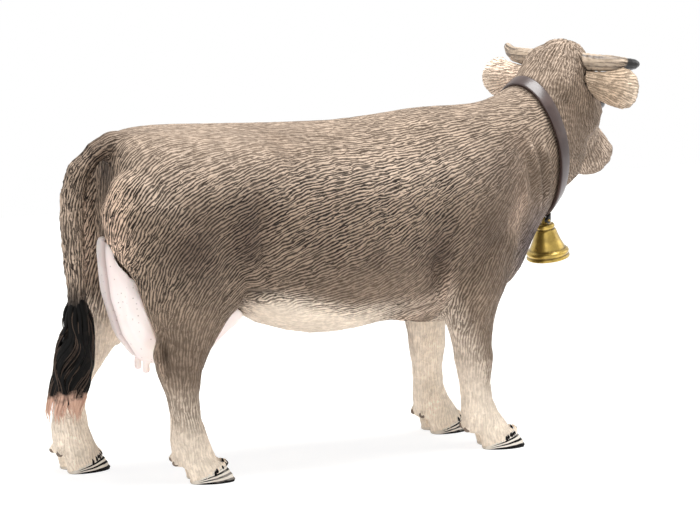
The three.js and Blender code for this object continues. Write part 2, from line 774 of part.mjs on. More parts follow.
// Strap: a flat moulded band that follows the neck all the way round, over the neck joint
function strapCorners(index, growth) {
  const inner = trunkRing(collarRow, strapClearance - growth)[index];
  const outer = trunkRing(collarRow, strapClearance + strapThickness + growth)[index];
  const behind = trunkRing(collarRow - directionStep, strapClearance)[index];
  const ahead = trunkRing(collarRow + directionStep, strapClearance)[index];
  const width = ahead.sub(behind).setLength(strapWidth / 2 + growth);
  return [
    inner.clone().sub(width),
    outer.clone().sub(width),
    outer.clone().add(width),
    inner.clone().add(width),
  ];
}

function strap(growth = 0) {
  const corners = Array.from({ length: trunkSides }, (_, index) => strapCorners(index, growth));
  const points = corners.flat();
  const triangles = [];
  const around = corners[0].length;
  for (let index = 0; index < trunkSides; index++) {
    const here = index * around;
    const there = ((index + 1) % trunkSides) * around;
    for (let corner = 0; corner < around; corner++) {
      const next = (corner + 1) % around;
      triangles.push(here + corner, there + corner, there + next);
      triangles.push(here + corner, there + next, here + next);
    }
  }
  const geometry = new THREE.BufferGeometry().setFromPoints(points);
  geometry.setIndex(triangles);
  const solid = solidOf(geometry);
  if (solid.volume() > 0) return solid;
  for (let corner = 0; corner < triangles.length; corner += 3)
    [triangles[corner], triangles[corner + 1]] = [triangles[corner + 1], triangles[corner]];
  geometry.setIndex(triangles);
  return solidOf(geometry);
}
// Hanger and bell, in a frame whose origin is the bell's pin, turned with the neck
const box = (sizeX, sizeY, sizeZ, centre) => {
  const geometry = new THREE.BoxGeometry(sizeX, sizeY, sizeZ);
  geometry.translate(centre.x, centre.y, centre.z);
  return solidOf(geometry);
};
const crossBar = (radius, length, centre = new THREE.Vector3()) =>
  bar(
    centre.clone().addScaledVector(unitY, -length / 2),
    centre.clone().addScaledVector(unitY, length / 2),
    radius,
  );

// The strap's lowest line runs forwards and up; the pin lies a set distance square below it
const cheekDrop = hangerLength / 2;
const strapLine = trunkSection(collarRow + directionStep)
  .bottom.sub(trunkSection(collarRow - directionStep).bottom)
  .normalize();
const belowStrap = collar.across.clone().cross(strapLine).normalize();
if (belowStrap.z > 0) belowStrap.negate();
const strapUnderside = collar.bottom
  .clone()
  .addScaledVector(unitZ, (strapClearance + strapThickness) / belowStrap.z);
const hangingGroup = new THREE.Group();
hangingGroup.position.copy(strapUnderside).addScaledVector(unitZ, hangerDrop / belowStrap.z);
hangingGroup.rotation.z = Math.atan2(-collar.across.x, collar.across.y);
hangingGroup.updateMatrixWorld(true);
animal.add(hangingGroup);

const studTop = strapUnderside.clone().addScaledVector(unitZ, hangerStudLength);
const studHole = bar(
  hangingGroup.position,
  strapUnderside.clone().addScaledVector(unitZ, strapThickness * 2),
  hangerStudRadius + socketClearance,
);
animal.add(meshOf("collar_strap", strap().subtract(studHole), materials.strap));

const cheekSpan = hangerWidth - 2 * cheekThickness;
const lugTop = 2 * hangerLength;
const hangerBlock = crossBar(cheekDrop, hangerWidth).add(
  box(hangerLength, hangerWidth, lugTop, new THREE.Vector3(0, 0, lugTop / 2)),
);
const slotTop = tabRadius + runningClearance;
const hangerSlot = box(
  hangerLength * 2,
  cheekSpan,
  lugTop,
  new THREE.Vector3(0, 0, slotTop - lugTop / 2),
);
const lugMiddle = hangingGroup.position.clone().addScaledVector(unitZ, cheekDrop);
const clearOfStrap = beyond(
  strapUnderside.clone().addScaledVector(belowStrap, socketClearance),
  belowStrap,
);
const hangerFrame = hangingGroup.matrixWorld.clone().invert();
const intoHangerFrame = (solid) => solid.transform(hangerFrame.elements);
const hanger = hangerBlock
  .subtract(hangerSlot)
  .subtract(crossBar(pinRadius + runningClearance, hangerWidth * 2))
  .intersect(intoHangerFrame(clearOfStrap))
  .add(intoHangerFrame(bar(lugMiddle, studTop, hangerStudRadius)));
hangingGroup.add(meshOf("bell_hanger", hanger, materials.hanger));
hangingGroup.add(
  meshOf("hanger_pin", crossBar(pinRadius, hangerWidth + 2 * pinOverhang), materials.bell),
);

// Bell: a turned profile, in shares of its rim radius and height, with a tab for the pin
const bellProfileShares = [
  [0.33, 0],
  [0.41, 0.03],
  [0.44, 0.1],
  [0.42, 0.14],
  [0.48, 0.19],
  [0.53, 0.3],
  [0.61, 0.45],
  [0.71, 0.59],
  [0.79, 0.7],
  [0.94, 0.78],
  [0.97, 0.84],
  [0.93, 0.9],
  [0.98, 0.95],
  [0.98, 1],
];
const crownDrop = tabRadius + crownClearance;

function bellSolid() {
  const outline = bellProfileShares.map(
    ([r, z]) => new THREE.Vector2(r * bellRimRadius, -crownDrop - z * bellHeight),
  );
  const hollow = bellProfileShares
    .slice(1)
    .map(
      ([r, z]) =>
        new THREE.Vector2(
          r * bellRimRadius - bellWall,
          -crownDrop - (z === 1 ? bellHeight : z * bellHeight + bellWall),
        ),
    )
    .filter((point) => point.y >= -crownDrop - bellHeight);
  const profile = [
    new THREE.Vector2(0, hollow[0].y),
    ...hollow,
    ...outline.reverse(),
    new THREE.Vector2(0, -crownDrop),
  ];
  const geometry = new THREE.LatheGeometry(profile, bellSides);
  geometry.rotateX(Math.PI / 2);
  return solidOf(geometry);
}

const tabBottom = -crownDrop - bellWall / 2;
const tab = crossBar(tabRadius, tabThickness)
  .add(box(tabRadius * 2, tabThickness, -tabBottom, new THREE.Vector3(0, 0, tabBottom / 2)))
  .subtract(crossBar(pinRadius + runningClearance, tabThickness * 2));
const clapperPivot = new THREE.Vector3(0, 0, -crownDrop - clapperDepth);
const bell = bellSolid()
  .add(tab)
  .subtract(crossBar(clapperRodRadius + runningClearance, bellRimRadius * 2, clapperPivot));
const swinging = new THREE.Group();
swinging.rotation.y = -bellTilt;
hangingGroup.add(swinging);
swinging.add(meshOf("bell", bell, materials.bell));
swinging.add(
  meshOf(
    "clapper_pin",
    crossBar(clapperRodRadius, clapperPinLength, clapperPivot),
    materials.bell,
  ),
);

// Clapper: hangs straight down from its pin inside the tilted bell
const clapperGroup = new THREE.Group();
clapperGroup.position.copy(clapperPivot);
clapperGroup.rotation.y = bellTilt;
swinging.add(clapperGroup);
const clapperBall = new THREE.SphereGeometry(clapperBallRadius, roundSides, ballSides);
clapperBall.translate(0, 0, -clapperDrop);
const clapper = crossBar(clapperEyeRadius, tabThickness)
  .add(bar(new THREE.Vector3(), new THREE.Vector3(0, 0, -clapperDrop), clapperRodRadius))
  .add(solidOf(clapperBall))
  .subtract(crossBar(clapperRodRadius + runningClearance, tabThickness * 2));
clapperGroup.add(meshOf("bell_clapper", clapper, materials.bell));

// The figure stands with the middle of its footprint box at the origin
animal.updateMatrixWorld(true);
const footprint = new THREE.Box3().setFromObject(animal, true);
const middle = footprint.getCenter(new THREE.Vector3());
animal.position.set(-middle.x, -middle.y, 0);

export default animal;
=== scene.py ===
import bmesh
import bpy
import json
import numpy as np
from contextlib import contextmanager
from math import cos, pi, radians, sin
from mathutils import Euler, Matrix, Vector
from mathutils.bvhtree import BVHTree

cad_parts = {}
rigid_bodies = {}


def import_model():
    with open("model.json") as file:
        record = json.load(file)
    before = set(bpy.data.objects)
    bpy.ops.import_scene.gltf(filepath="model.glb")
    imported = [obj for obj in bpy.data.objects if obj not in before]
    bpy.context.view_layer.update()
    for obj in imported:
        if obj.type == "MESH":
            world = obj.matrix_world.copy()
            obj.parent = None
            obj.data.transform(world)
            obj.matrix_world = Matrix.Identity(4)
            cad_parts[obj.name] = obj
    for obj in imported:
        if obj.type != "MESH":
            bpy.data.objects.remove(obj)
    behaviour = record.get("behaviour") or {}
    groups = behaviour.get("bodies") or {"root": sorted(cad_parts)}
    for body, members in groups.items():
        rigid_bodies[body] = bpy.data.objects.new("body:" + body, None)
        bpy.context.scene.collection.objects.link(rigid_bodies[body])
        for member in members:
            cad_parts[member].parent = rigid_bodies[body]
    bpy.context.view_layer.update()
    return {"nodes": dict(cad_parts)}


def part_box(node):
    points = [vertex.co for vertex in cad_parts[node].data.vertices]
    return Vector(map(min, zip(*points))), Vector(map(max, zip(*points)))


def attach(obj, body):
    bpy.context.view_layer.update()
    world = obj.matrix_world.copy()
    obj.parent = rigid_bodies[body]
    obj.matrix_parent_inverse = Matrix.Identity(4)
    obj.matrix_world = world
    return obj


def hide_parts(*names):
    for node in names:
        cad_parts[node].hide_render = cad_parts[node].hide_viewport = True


for thing in list(bpy.data.objects):
    bpy.data.objects.remove(thing)
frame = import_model()
scene = bpy.context.scene
scene.view_settings.view_transform = "Standard"
mm = 0.001


# Studio: the figure stands on a white table that runs into a white room, and is seen from its
# right side, a little from behind and from above, through a long lens.
view_azimuth = radians(-26)
view_elevation = radians(10.5)
view_distance = 700 * mm
view_target = Vector((-1.974, -1.142, 42)) * mm
lens_length = 165.6
sensor_width = 36
near_clip = 10 * mm
room_light = 0.33
table_glow = 0.785
floor_size = 640 * mm
table_bounce = 0.3
table_white = (0.82, 0.82, 0.83, 1)
table_shade = (0.4, 0.39, 0.35, 1)
# name of the lamp: its place and size in metres; its power in watts
lamps = {
    "overhead_softbox": ((0.08, -0.02, 0.7), 0.4, 6.9),
    "side_fill": ((-0.5, -0.7, 0.35), 0.6, 1.2),
    "front_fill": ((0.75, -0.1, 0.4), 0.5, 1.2),
    "rear_fill": ((-0.8, 0.05, 0.2), 0.5, 1.5),
}


def placed(name, data):
    """A new object in the scene."""
    made = bpy.data.objects.new(name, data)
    scene.collection.objects.link(made)
    return made


def turned_back(way):
    """The turn of a camera or a lamp that stands off along a way and looks back."""
    return way.to_track_quat("Z", "Y").to_euler()


def give(tree, socket, value):
    """Sets an input to a value, or links it to a socket or a node's first output."""
    if isinstance(value, bpy.types.Node):
        value = value.outputs[0]
    if isinstance(value, bpy.types.NodeSocket):
        tree.links.new(value, socket)
    else:
        socket.default_value = value


def put(tree, kind, inputs=None, **fields):
    """Adds a node with its settings and what its inputs are given."""
    made = tree.nodes.new(kind)
    for field, value in fields.items():
        setattr(made, field, value)
    for name, value in (inputs or {}).items():
        give(tree, made.inputs[name], value)
    return made


def maths(tree, operation, *values, clamp=False):
    """A sum on values or sockets."""
    given = dict(enumerate(values))
    return put(tree, "ShaderNodeMath", given, operation=operation, use_clamp=clamp)


def span(tree, value, low, high, start=0, end=1, ramp="LINEAR"):
    """Carries a value over from low to high into start to end."""
    given = {"Value": value, "From Min": low, "From Max": high, "To Min": start, "To Max": end}
    return put(tree, "ShaderNodeMapRange", given, interpolation_type=ramp)


def emptied(owner):
    """The node tree of a new material or world, with nothing in it."""
    owner.use_nodes = True
    owner.node_tree.nodes.clear()
    return owner.node_tree


to_camera = Vector((
    sin(view_azimuth) * cos(view_elevation),
    -cos(view_azimuth) * cos(view_elevation),
    sin(view_elevation),
))
camera_data = bpy.data.cameras.new("camera")
camera_data.lens = lens_length
camera_data.sensor_width = sensor_width
camera_data.clip_start = near_clip
camera = placed("camera", camera_data)
camera.location = view_target + to_camera * view_distance
camera.rotation_euler = turned_back(to_camera)
scene.camera = camera
for name, (place, size, power) in lamps.items():
    lamp_data = bpy.data.lights.new(name, "AREA")
    lamp_data.size = size
    lamp_data.energy = power
    lamp = placed(name, lamp_data)
    lamp.location = place
    lamp.rotation_euler = turned_back(Vector(place) - view_target)

world = bpy.data.worlds.new("white_room")
scene.world = world
tree = emptied(world)
rays = put(tree, "ShaderNodeLightPath").outputs
seen = maths(tree, "MAXIMUM", rays["Is Camera Ray"], rays["Is Glossy Ray"])
seen = maths(tree, "MAXIMUM", seen, rays["Is Transmission Ray"])
strength = span(tree, seen, 0, 1, room_light, 1)
white_room = put(tree, "ShaderNodeBackground", {"Color": (1, 1, 1, 1), "Strength": strength})
put(tree, "ShaderNodeOutputWorld", {"Surface": white_room})

half = floor_size / 2
corners = [(-half, -half, 0), (half, -half, 0), (half, half, 0), (-half, half, 0)]
floor_mesh = bpy.data.meshes.new("table_top")
floor_mesh.from_pydata(corners, [], [(0, 1, 2, 3)])
floor = placed("table_top", floor_mesh)
white_table = bpy.data.materials.new("white_table")
tree = emptied(white_table)
white_top = put(tree, "ShaderNodeBsdfDiffuse", {"Color": table_white})
lit_table = put(tree, "ShaderNodeEmission", {"Color": (1, 0.99, 0.98, 1), "Strength": table_bounce})
bounced = put(tree, "ShaderNodeAddShader", {0: white_top, 1: lit_table})
shadowed = put(tree, "ShaderNodeBsdfDiffuse", {"Color": table_shade})
glow = put(tree, "ShaderNodeEmission", {"Color": (0.95, 0.965, 1, 1), "Strength": table_glow})
in_view = put(tree, "ShaderNodeAddShader", {0: shadowed, 1: glow})
rays = put(tree, "ShaderNodeLightPath").outputs
chosen = put(tree, "ShaderNodeMixShader", {0: rays["Is Camera Ray"], 1: bounced, 2: in_view})
put(tree, "ShaderNodeOutputMaterial", {"Surface": chosen})
floor_mesh.materials.append(white_table)


# Body shape: trunk, legs, head and tail were modelled as one animal and moulded apart, so their
# surfaces run on across the joints. The solids are joined, smoothed as one and cut up again.
skin_voxel = 0.48 * mm
gap_cover = 0.2 * mm
skin_rounds = 70
smoothing_steps = (0.62, -0.64)
touching = 0.0001 * mm
# how far the smoothing is held back at the shanks, the head and the tail, and where that sets in
firm_shanks = (0.75, 36 * mm, 14 * mm)
firm_head = (0.55, 46 * mm, 52 * mm)
firm_tail = (0.25, -61 * mm, -63 * mm)
leg_nodes = ("right_foreleg", "left_foreleg", "right_hind_leg", "left_hind_leg")


def rows_of(rows, field):
    """A vector of each row of a mesh, as an array."""
    values = np.empty(len(rows) * 3, np.float32)
    rows.foreach_get(field, values)
    return values.reshape(-1, 3).astype(float)


def points_of(mesh):
    return rows_of(mesh.vertices, "co")


def normals_of(mesh):
    return rows_of(mesh.vertex_normals, "vector")


def edges_of(mesh):
    edges = np.empty(len(mesh.edges) * 2, np.int32)
    mesh.edges.foreach_get("vertices", edges)
    return edges.reshape(-1, 2)


def set_points(mesh, points):
    mesh.vertices.foreach_set("co", points.astype(np.float32).ravel())
    mesh.update()


def lengths(rows):
    return np.linalg.norm(rows, axis=1)[:, None]


@contextmanager
def edited(mesh):
    """A mesh opened for editing, and kept as it is left."""
    shape = bmesh.new()
    shape.from_mesh(mesh)
    yield shape
    shape.to_mesh(mesh)
    shape.free()


def islands_of(mesh):
    """A number for each point, the same for all points of one connected surface."""
    edges = edges_of(mesh)
    label = np.arange(len(mesh.vertices))
    while True:
        new = label.copy()
        low = np.minimum(label[edges[:, 0]], label[edges[:, 1]])
        np.minimum.at(new, edges[:, 0], low)
        np.minimum.at(new, edges[:, 1], low)
        new = new[new]
        if (new == label).all():
            return label
        label = new


def part_of(mesh, keep, name):
    """A new mesh of the points that are kept, which are whole connected surfaces."""
    number = np.cumsum(keep) - 1
    faces = [[number[i] for i in face.vertices] for face in mesh.polygons if keep[face.vertices[0]]]
    made = bpy.data.meshes.new(name)
    made.from_pydata(points_of(mesh)[keep].tolist(), [], faces)
    made.shade_smooth()
    return made


def neighbour_table(mesh):
    """Each point's neighbours, padded with itself, and how many it has."""
    edges = edges_of(mesh)
    count = len(mesh.vertices)
    ends = np.concatenate((edges, edges[:, ::-1]))
    ends = ends[np.argsort(ends[:, 0], kind="stable")]
    starts = np.searchsorted(ends[:, 0], np.arange(count + 1))
    number = np.diff(starts)
    table = np.repeat(np.arange(count)[:, None], number.max(), 1)
    table[ends[:, 0], np.arange(len(ends)) - starts[ends[:, 0]]] = ends[:, 1]
    return table, number


def smoothed(points, neighbours, rounds, weight=1.0):
    """Evens out facets without shrinking: steps inwards and outwards in turn."""
    table, number = neighbours
    spare = (table.shape[1] - number)[:, None]
    weight = np.broadcast_to(np.asarray(weight, float), len(points))[:, None]
    for _ in range(rounds):
        for step in smoothing_steps:
            middle = (points[table].sum(1) - spare * points) / number[:, None]
            points = points + step * weight * (middle - points)
    return points


def reskinned(name, nodes, voxel, cover, rounds=0):
    """One closed skin over several solids, remade in even quads of the voxel's size."""
    shape = bmesh.new()
    for node in nodes:
        passing = frame["nodes"][node].data.copy()
        with edited(passing) as one:
            bmesh.ops.remove_doubles(one, verts=one.verts, dist=touching)
            one.normal_update()
            for point in one.verts:
                point.co += point.normal * cover
        shape.from_mesh(passing)
        bpy.data.meshes.remove(passing)
    mesh = bpy.data.meshes.new(name)
    shape.to_mesh(mesh)
    shape.free()
    rough = placed(name, mesh)
    remesh = rough.modifiers.new("even", "REMESH")
    remesh.mode = "VOXEL"
    remesh.voxel_size = voxel
    even = bpy.data.meshes.new_from_object(
        rough.evaluated_get(bpy.context.evaluated_depsgraph_get())
    )
    bpy.data.objects.remove(rough)
    bpy.data.meshes.remove(mesh)
    label = islands_of(even)
    numbers, sizes = np.unique(label, return_counts=True)
    skin = part_of(even, label == numbers[sizes.argmax()], name)
    bpy.data.meshes.remove(even)
    set_points(skin, points_of(skin) - normals_of(skin) * cover)
    if rounds:
        set_points(skin, smoothed(points_of(skin), neighbour_table(skin), rounds))
    return skin


def ease(value, low, high):
    """0 below low, 1 above high, with a soft change between them."""
    share = np.clip((value - low) / (high - low), 0, 1)
    return share * share * (3 - 2 * share)


body = reskinned("animal", ("torso", "head", "tail") + leg_nodes, skin_voxel, gap_cover)
around = neighbour_table(body)
points = points_of(body)
softness = 1
for (less, start, end), axis in ((firm_shanks, 2), (firm_head, 0), (firm_tail, 0)):
    softness = softness * (1 - less * ease(points[:, axis], start, end))
points = smoothed(points, around, skin_rounds, softness)
set_points(body, points)


# Modelled muscles and folds: swellings, hollows and creases of the animal under its coat, part of
# the mouldings. Places are along, out from the middle and up in millimetres, alike on both sides.
middle_out = -1.142 * mm
strap_along, strap_reach, strap_low = 44.5, 2.5, 46
# name of the form: along, out, up; reach in each direction; height
swellings = {
    "hook bone": ((-30, 14, 68.5), (5.5, 5, 4.5), 1.1),
    "pin bone": ((-56.5, 8, 66.5), (4, 5, 4.5), 0.9),
    "hollow before the hip": ((-20, 17, 64), (7, 8, 6), -0.8),
    "rump between the bones": ((-44, 15, 67), (7, 7, 5), -0.5),
    "thigh": ((-46, 21, 52), (9, 9, 11), 0.9),
    "stifle": ((-32, 19, 42), (5, 6, 6), 0.8),
    "flank": ((-28, 19, 52), (4.5, 7, 11), -1.0),
    "barrel": ((-8, 22, 47), (14, 8, 12), 0.6),
    "behind the elbow": ((9, 18, 44), (4, 8, 10), -1.0),
    "shoulder": ((24, 16, 50), (7, 8, 11), 0.8),
    "point of the shoulder": ((33, 13, 47), (4.5, 6, 5), 0.8),
    "top of the shoulder": ((15, 8, 72), (5, 6, 4), 0.5),
    "crest of the neck": ((36, 6, 76), (6, 5, 5), 0.4),
    "neck hollow": ((36, 12, 62), (4, 6, 9), -0.5),
    "upper arm": ((22, 15, 36), (5, 6, 6), 0.7),
    "breast": ((37, 0, 40), (5, 5, 6), 0.8),
    "under the breast": ((32, 0, 33), (5, 6, 3), -0.8),
    "back of the thigh": ((-56.5, 12.5, 46), (4.5, 6, 6), -2.5),
    "bend of the tail": ((-62.6, 0, 71.2), (4, 5, 3.4), -1.0),
}
# name of the fold: its path; reach; height
folds = {
    "flank crease": ([(-33, 20, 64), (-32, 20.5, 56), (-31, 19.5, 47), (-29, 17, 40)], 1.7, -0.9),
    "flank fold": ([(-35, 12, 37.6), (-29, 14.7, 38.4), (-21, 15.4, 35)], 1.5, 1.1),
    "flank fold shade": ([(-34, 12.5, 40.4), (-28, 15.4, 41), (-19, 17, 37.6)], 1.0, -0.9),
    "thigh groove": ([(-55, 17, 60), (-54, 17.5, 50), (-52, 15, 42)], 1.8, -0.5),
    "hock cord": ([(-53.2, 11.2, 35), (-52.6, 11, 30.5), (-51.4, 11.4, 24.6)], 1.1, 1.0),
    "hock hollow": ([(-52, 12.7, 35.6), (-51, 12.1, 30.3), (-50.2, 12.3, 24.8)], 0.9, -1.2),
    "elbow crease": ([(10.5, 17, 47), (11.2, 17, 41), (12.6, 13.7, 35)], 1.2, -1.2),
    "elbow tuft": ([(14, 16, 41), (13.6, 14.7, 37), (14.6, 12.6, 34)], 1.1, 0.9),
    "belly fold": ([(3, 9, 31), (9, 8, 31), (14, 9, 33)], 1.2, 0.9),
    "belly fold shade": ([(2, 11, 32.5), (8, 11, 32.8), (12.5, 12, 34.6)], 0.9, -0.7),
    "shoulder edge": ([(12, 14, 66), (12, 17, 57), (13, 18, 49)], 1.8, -0.45),
    "arm groove": ([(28, 15, 44), (29, 12, 37), (28, 9, 30)], 1.3, -0.5),
    "breast crease": ([(33, 11, 55), (37, 8, 48), (38, 4, 41)], 1.1, -0.6),
    "knee": ([(26.5, 10, 24), (26.8, 10, 19)], 1.8, 0.35),
}
# folds of the turned neck, on its right side only
neck_folds = {
    "fold behind": ([(37.4, 9, 69), (38.1, 9.2, 65), (39.1, 9.8, 59.5), (42.4, 6, 51.5)], 0.8, 1.0),
    "fold ahead": ([(41.4, 8.1, 67), (42.5, 7.9, 62), (43, 7.4, 58.9), (44, 4.9, 52.8)], 0.7, 0.9),
    "crease behind": ([(36.6, 10.4, 67), (37.4, 11, 60), (39.6, 8.6, 52)], 0.7, -0.7),
    "crease between": ([(39.8, 8.8, 66), (41, 8.6, 59.5), (43.2, 5.6, 52.5)], 0.7, -0.8),
    "fold far behind": ([(33, 11.4, 63), (35, 12, 57), (38.6, 9, 49)], 1.0, 0.6),
}


def sided(points, middle=middle_out):
    """Places along, out from the middle plane and up, in millimetres."""
    out = np.abs(points[:, 1] - middle)
    return np.column_stack((points[:, 0], out, points[:, 2])) / mm


def near(places, place, reach):
    """1 at a place, fading round it over its reach in each direction."""
    return np.exp(-(((places - np.array(place)) / np.array(reach)) ** 2).sum(1))


def along_path(places, path, reach):
    """1 on a path of points that lie on the surface, fading beside it and towards its ends."""
    nearest = np.full(len(places), np.inf)
    share = np.zeros(len(places))
    steps = len(path) - 1
    for index in range(steps):
        start, end = np.array(path[index]), np.array(path[index + 1])
        line = end - start
        t = np.clip(((places - start) @ line) / (line @ line), 0, 1)
        distance = np.linalg.norm(places - start - t[:, None] * line, axis=1)
        closer = distance < nearest
        nearest[closer] = distance[closer]
        share[closer] = (index + t[closer]) / steps
    fade = np.sqrt(np.clip(np.sin(pi * np.clip(share, 0.04, 0.96)), 0, 1))
    return fade * np.exp(-((nearest / reach) ** 2))


def modelled(places, swellings, folds):
    """How high swellings and folds raise the surface at each place, in metres."""
    raised = np.zeros(len(places))
    for place, reach, height in swellings.values():
        raised += height * mm * near(places, place, reach)
    for path, reach, height in folds.values():
        raised += height * mm * along_path(places, path, reach)
    return raised


places = sided(points)
raised = modelled(places, swellings, folds)
raised += modelled(places, {}, neck_folds) * (points[:, 1] < middle_out)
points = smoothed(points + normals_of(body) * raised[:, None], around, 2)
under_strap = np.exp(-(((places[:, 0] - strap_along) / strap_reach) ** 2))
under_strap *= places[:, 2] > strap_low
set_points(body, points)


# Coat: fine wavy locks of hair, cut into the mould, follow the animal's build. Hair lies back and
# down from the head over the trunk and straight down the legs.
lock_spacing = 1.3 * mm
lock_length = 3.6 * mm
lock_height = 0.17 * mm
comb_reach = 8
tail_comb_reach = 3 * mm
tail_comb_edge = (2.6 * mm, 4.2 * mm)
rump_edge = (57 * mm, 62 * mm)
rump_low = 40 * mm
rump_extra = 0.6
strap_calm = 0.8
# where: along, up; which way the hair points there: along, up
combing = [
    ((-45, 74), (-1, 0)), ((-10, 73), (-1, -0.02)), ((12, 74), (-1, -0.12)),
    ((-17, 64), (-1, -0.22)), ((-10, 52), (-1, -0.42)), ((-12, 41), (-1, -0.38)),
    ((-5, 31), (-1, -0.12)), ((14, 66), (-1, -0.45)), ((20, 57), (-1, -0.62)),
    ((8, 46), (-1, -0.55)), ((23, 42), (-0.6, -1)), ((25, 30), (-0.1, -1)),
    ((26, 15), (0, -1)), ((27, 2), (0.15, -1)), ((-30, 56), (-1, -0.5)),
    ((-30, 44), (-0.9, -0.7)), ((-27, 36), (-1, -0.1)), ((-42, 66), (-1, -0.35)),
    ((-46, 54), (-0.85, -0.6)), ((-56, 60), (-0.45, -1)), ((-53, 46), (-0.35, -1)),
    ((-46, 36), (-0.1, -1)), ((-44, 22), (0.1, -1)), ((-46, 4), (0.2, -1)),
    ((31, 63), (-1, -0.3)), ((36, 77), (-1, 0.5)), ((41, 68), (-0.7, -0.7)),
    ((40, 57), (-0.35, -1)), ((33, 50), (-0.5, -1)), ((48, 60), (-0.5, -0.9)),
    ((52, 84), (-0.7, 0.7)), ((60, 68), (-0.6, 0.8)),
]
# the middle of the tail, from its root down to the end of its switch
tail_path = np.array([
    (-52.97, -1.14, 71.7), (-57.47, -1.14, 71.85), (-61.47, -1.14, 70.6), (-64.47, -1.12, 66.98),
    (-66.07, -1.04, 61.5), (-66.27, -0.83, 55), (-65.77, -0.53, 48.5), (-65.17, -0.12, 42),
    (-64.87, 0.15, 37), (-65.07, 0.46, 31), (-65.87, 0.66, 25), (-66.97, 0.87, 19.5),
    (-67.97, 0.95, 15.5),
]) * mm


def tail_combed(points):
    """The tail's own direction, downwards."""
    middles = (tail_path[1:] + tail_path[:-1]) / 2
    ways = tail_path[1:] - tail_path[:-1]
    ways /= lengths(ways)
    apart = ((points[:, None] - middles[None]) ** 2).sum(2)
    flow = (np.exp(-apart / (2 * tail_comb_reach**2)) + 1e-9) @ ways
    return flow / lengths(flow)


def combed(points):
    """Which way the hair lies at each point, in the side view."""
    side = points[:, [0, 2]] / mm
    total = np.zeros((len(points), 2))
    for place, way in combing:
        apart = ((side - np.array(place)) ** 2).sum(1)
        nearness = np.exp(-apart / (2 * comb_reach**2)) + 1e-6 / (1 + apart)
        total += nearness[:, None] * (np.array(way) / np.linalg.norm(way))
    flow = np.column_stack((total[:, 0], np.zeros(len(points)), total[:, 1]))
    flow /= lengths(flow)
    apart = np.sqrt(((points[:, None] - tail_path[None, :4]) ** 2).sum(2).min(1))
    near_tail = (1 - ease(apart, *tail_comb_edge))[:, None]
    flow = flow * (1 - near_tail) + tail_combed(points) * near_tail
    return flow / lengths(flow)


def across_hair(flow, normals):
    """Unit vectors in the surface, square to the hair."""
    across = np.cross(normals, flow)
    return across / np.maximum(lengths(across), 1e-6)


def locks(points, across, spacing, length, seed):
    """Wavy ridges along the hair, from 0 in the grooves to 1 on top, at about the spacing."""
    grid = points / length
    base = np.floor(grid).astype(int)
    wave = np.zeros((2, len(points)))
    for step in np.ndindex(3, 3, 3):
        cells = base + np.array(step) - 1
        mixed = cells[:, 0] * 73856093 ^ cells[:, 1] * 19349663 ^ cells[:, 2] * 83492791
        mixed = (mixed + seed * 7919) % 1000003
        scales = (0.0129, 0.0397, 0.0731, 0.0977)
        random = [(np.sin(mixed * scale) * 43758.5453) % 1 for scale in scales]
        apart = grid - cells - np.column_stack(random[:3])
        weight = np.exp(-pi * 0.9 * (apart**2).sum(1))
        phase = 2 * pi * (length / spacing * (apart * across).sum(1) + random[3])
        wave += weight * np.array((np.cos(phase), np.sin(phase)))
    return 1 - np.abs(np.arctan2(wave[1], wave[0])) / pi


def ridged(mesh, flow, spacing, length, height, seed):
    """Raises wavy locks on a mesh, along a direction for each point."""
    points, normals = points_of(mesh), normals_of(mesh)
    ridge = locks(points, across_hair(flow, normals), spacing, length, seed) - 0.5
    set_points(mesh, points + normals * (height * ridge)[:, None])


strongest = 1 + rump_extra * ease(-points[:, 0], *rump_edge) * (points[:, 2] > rump_low)
height = lock_height * (1 - strap_calm * under_strap) * strongest
ridged(body, combed(points), lock_spacing, lock_length, height, seed=3)


# Coat paint: sprayed grey-brown with darker patches, paler on the back and creamy on the belly and
# the lower legs, with a dark wash left in the grooves that is also painted shade. The paler back
# and tops are partly painted light from above and the darker sides partly painted shade; folds
# get painted highlights on their crests and painted shade in their creases, and the neck gets a
# painted shadow beside the strap.
def paint(red, green, blue):
    """A paint's colour, given as it looks on a screen, as the linear colour that Blender uses."""
    shares = [value / 255 for value in (red, green, blue)]
    return tuple(
        share / 12.92 if share <= 0.04045 else ((share + 0.055) / 1.055) ** 2.4
        for share in shares
    ) + (1,)


coat = paint(124, 107, 91)
coat_pale = paint(194, 174, 156)
coat_cream = paint(248, 232, 212)
coat_dark = paint(84, 69, 58)
coat_umber = paint(110, 93, 79)
coat_sand = paint(184, 158, 138)
leg_tan = paint(199, 183, 166)
coat_plum = paint(92, 82, 83)
# dark brown of the groove wash; it is also the painted shade in grooves, creases and beside the
# strap
wash_and_shade_brown = paint(34, 25, 18)
groove_tan = paint(158, 130, 104)
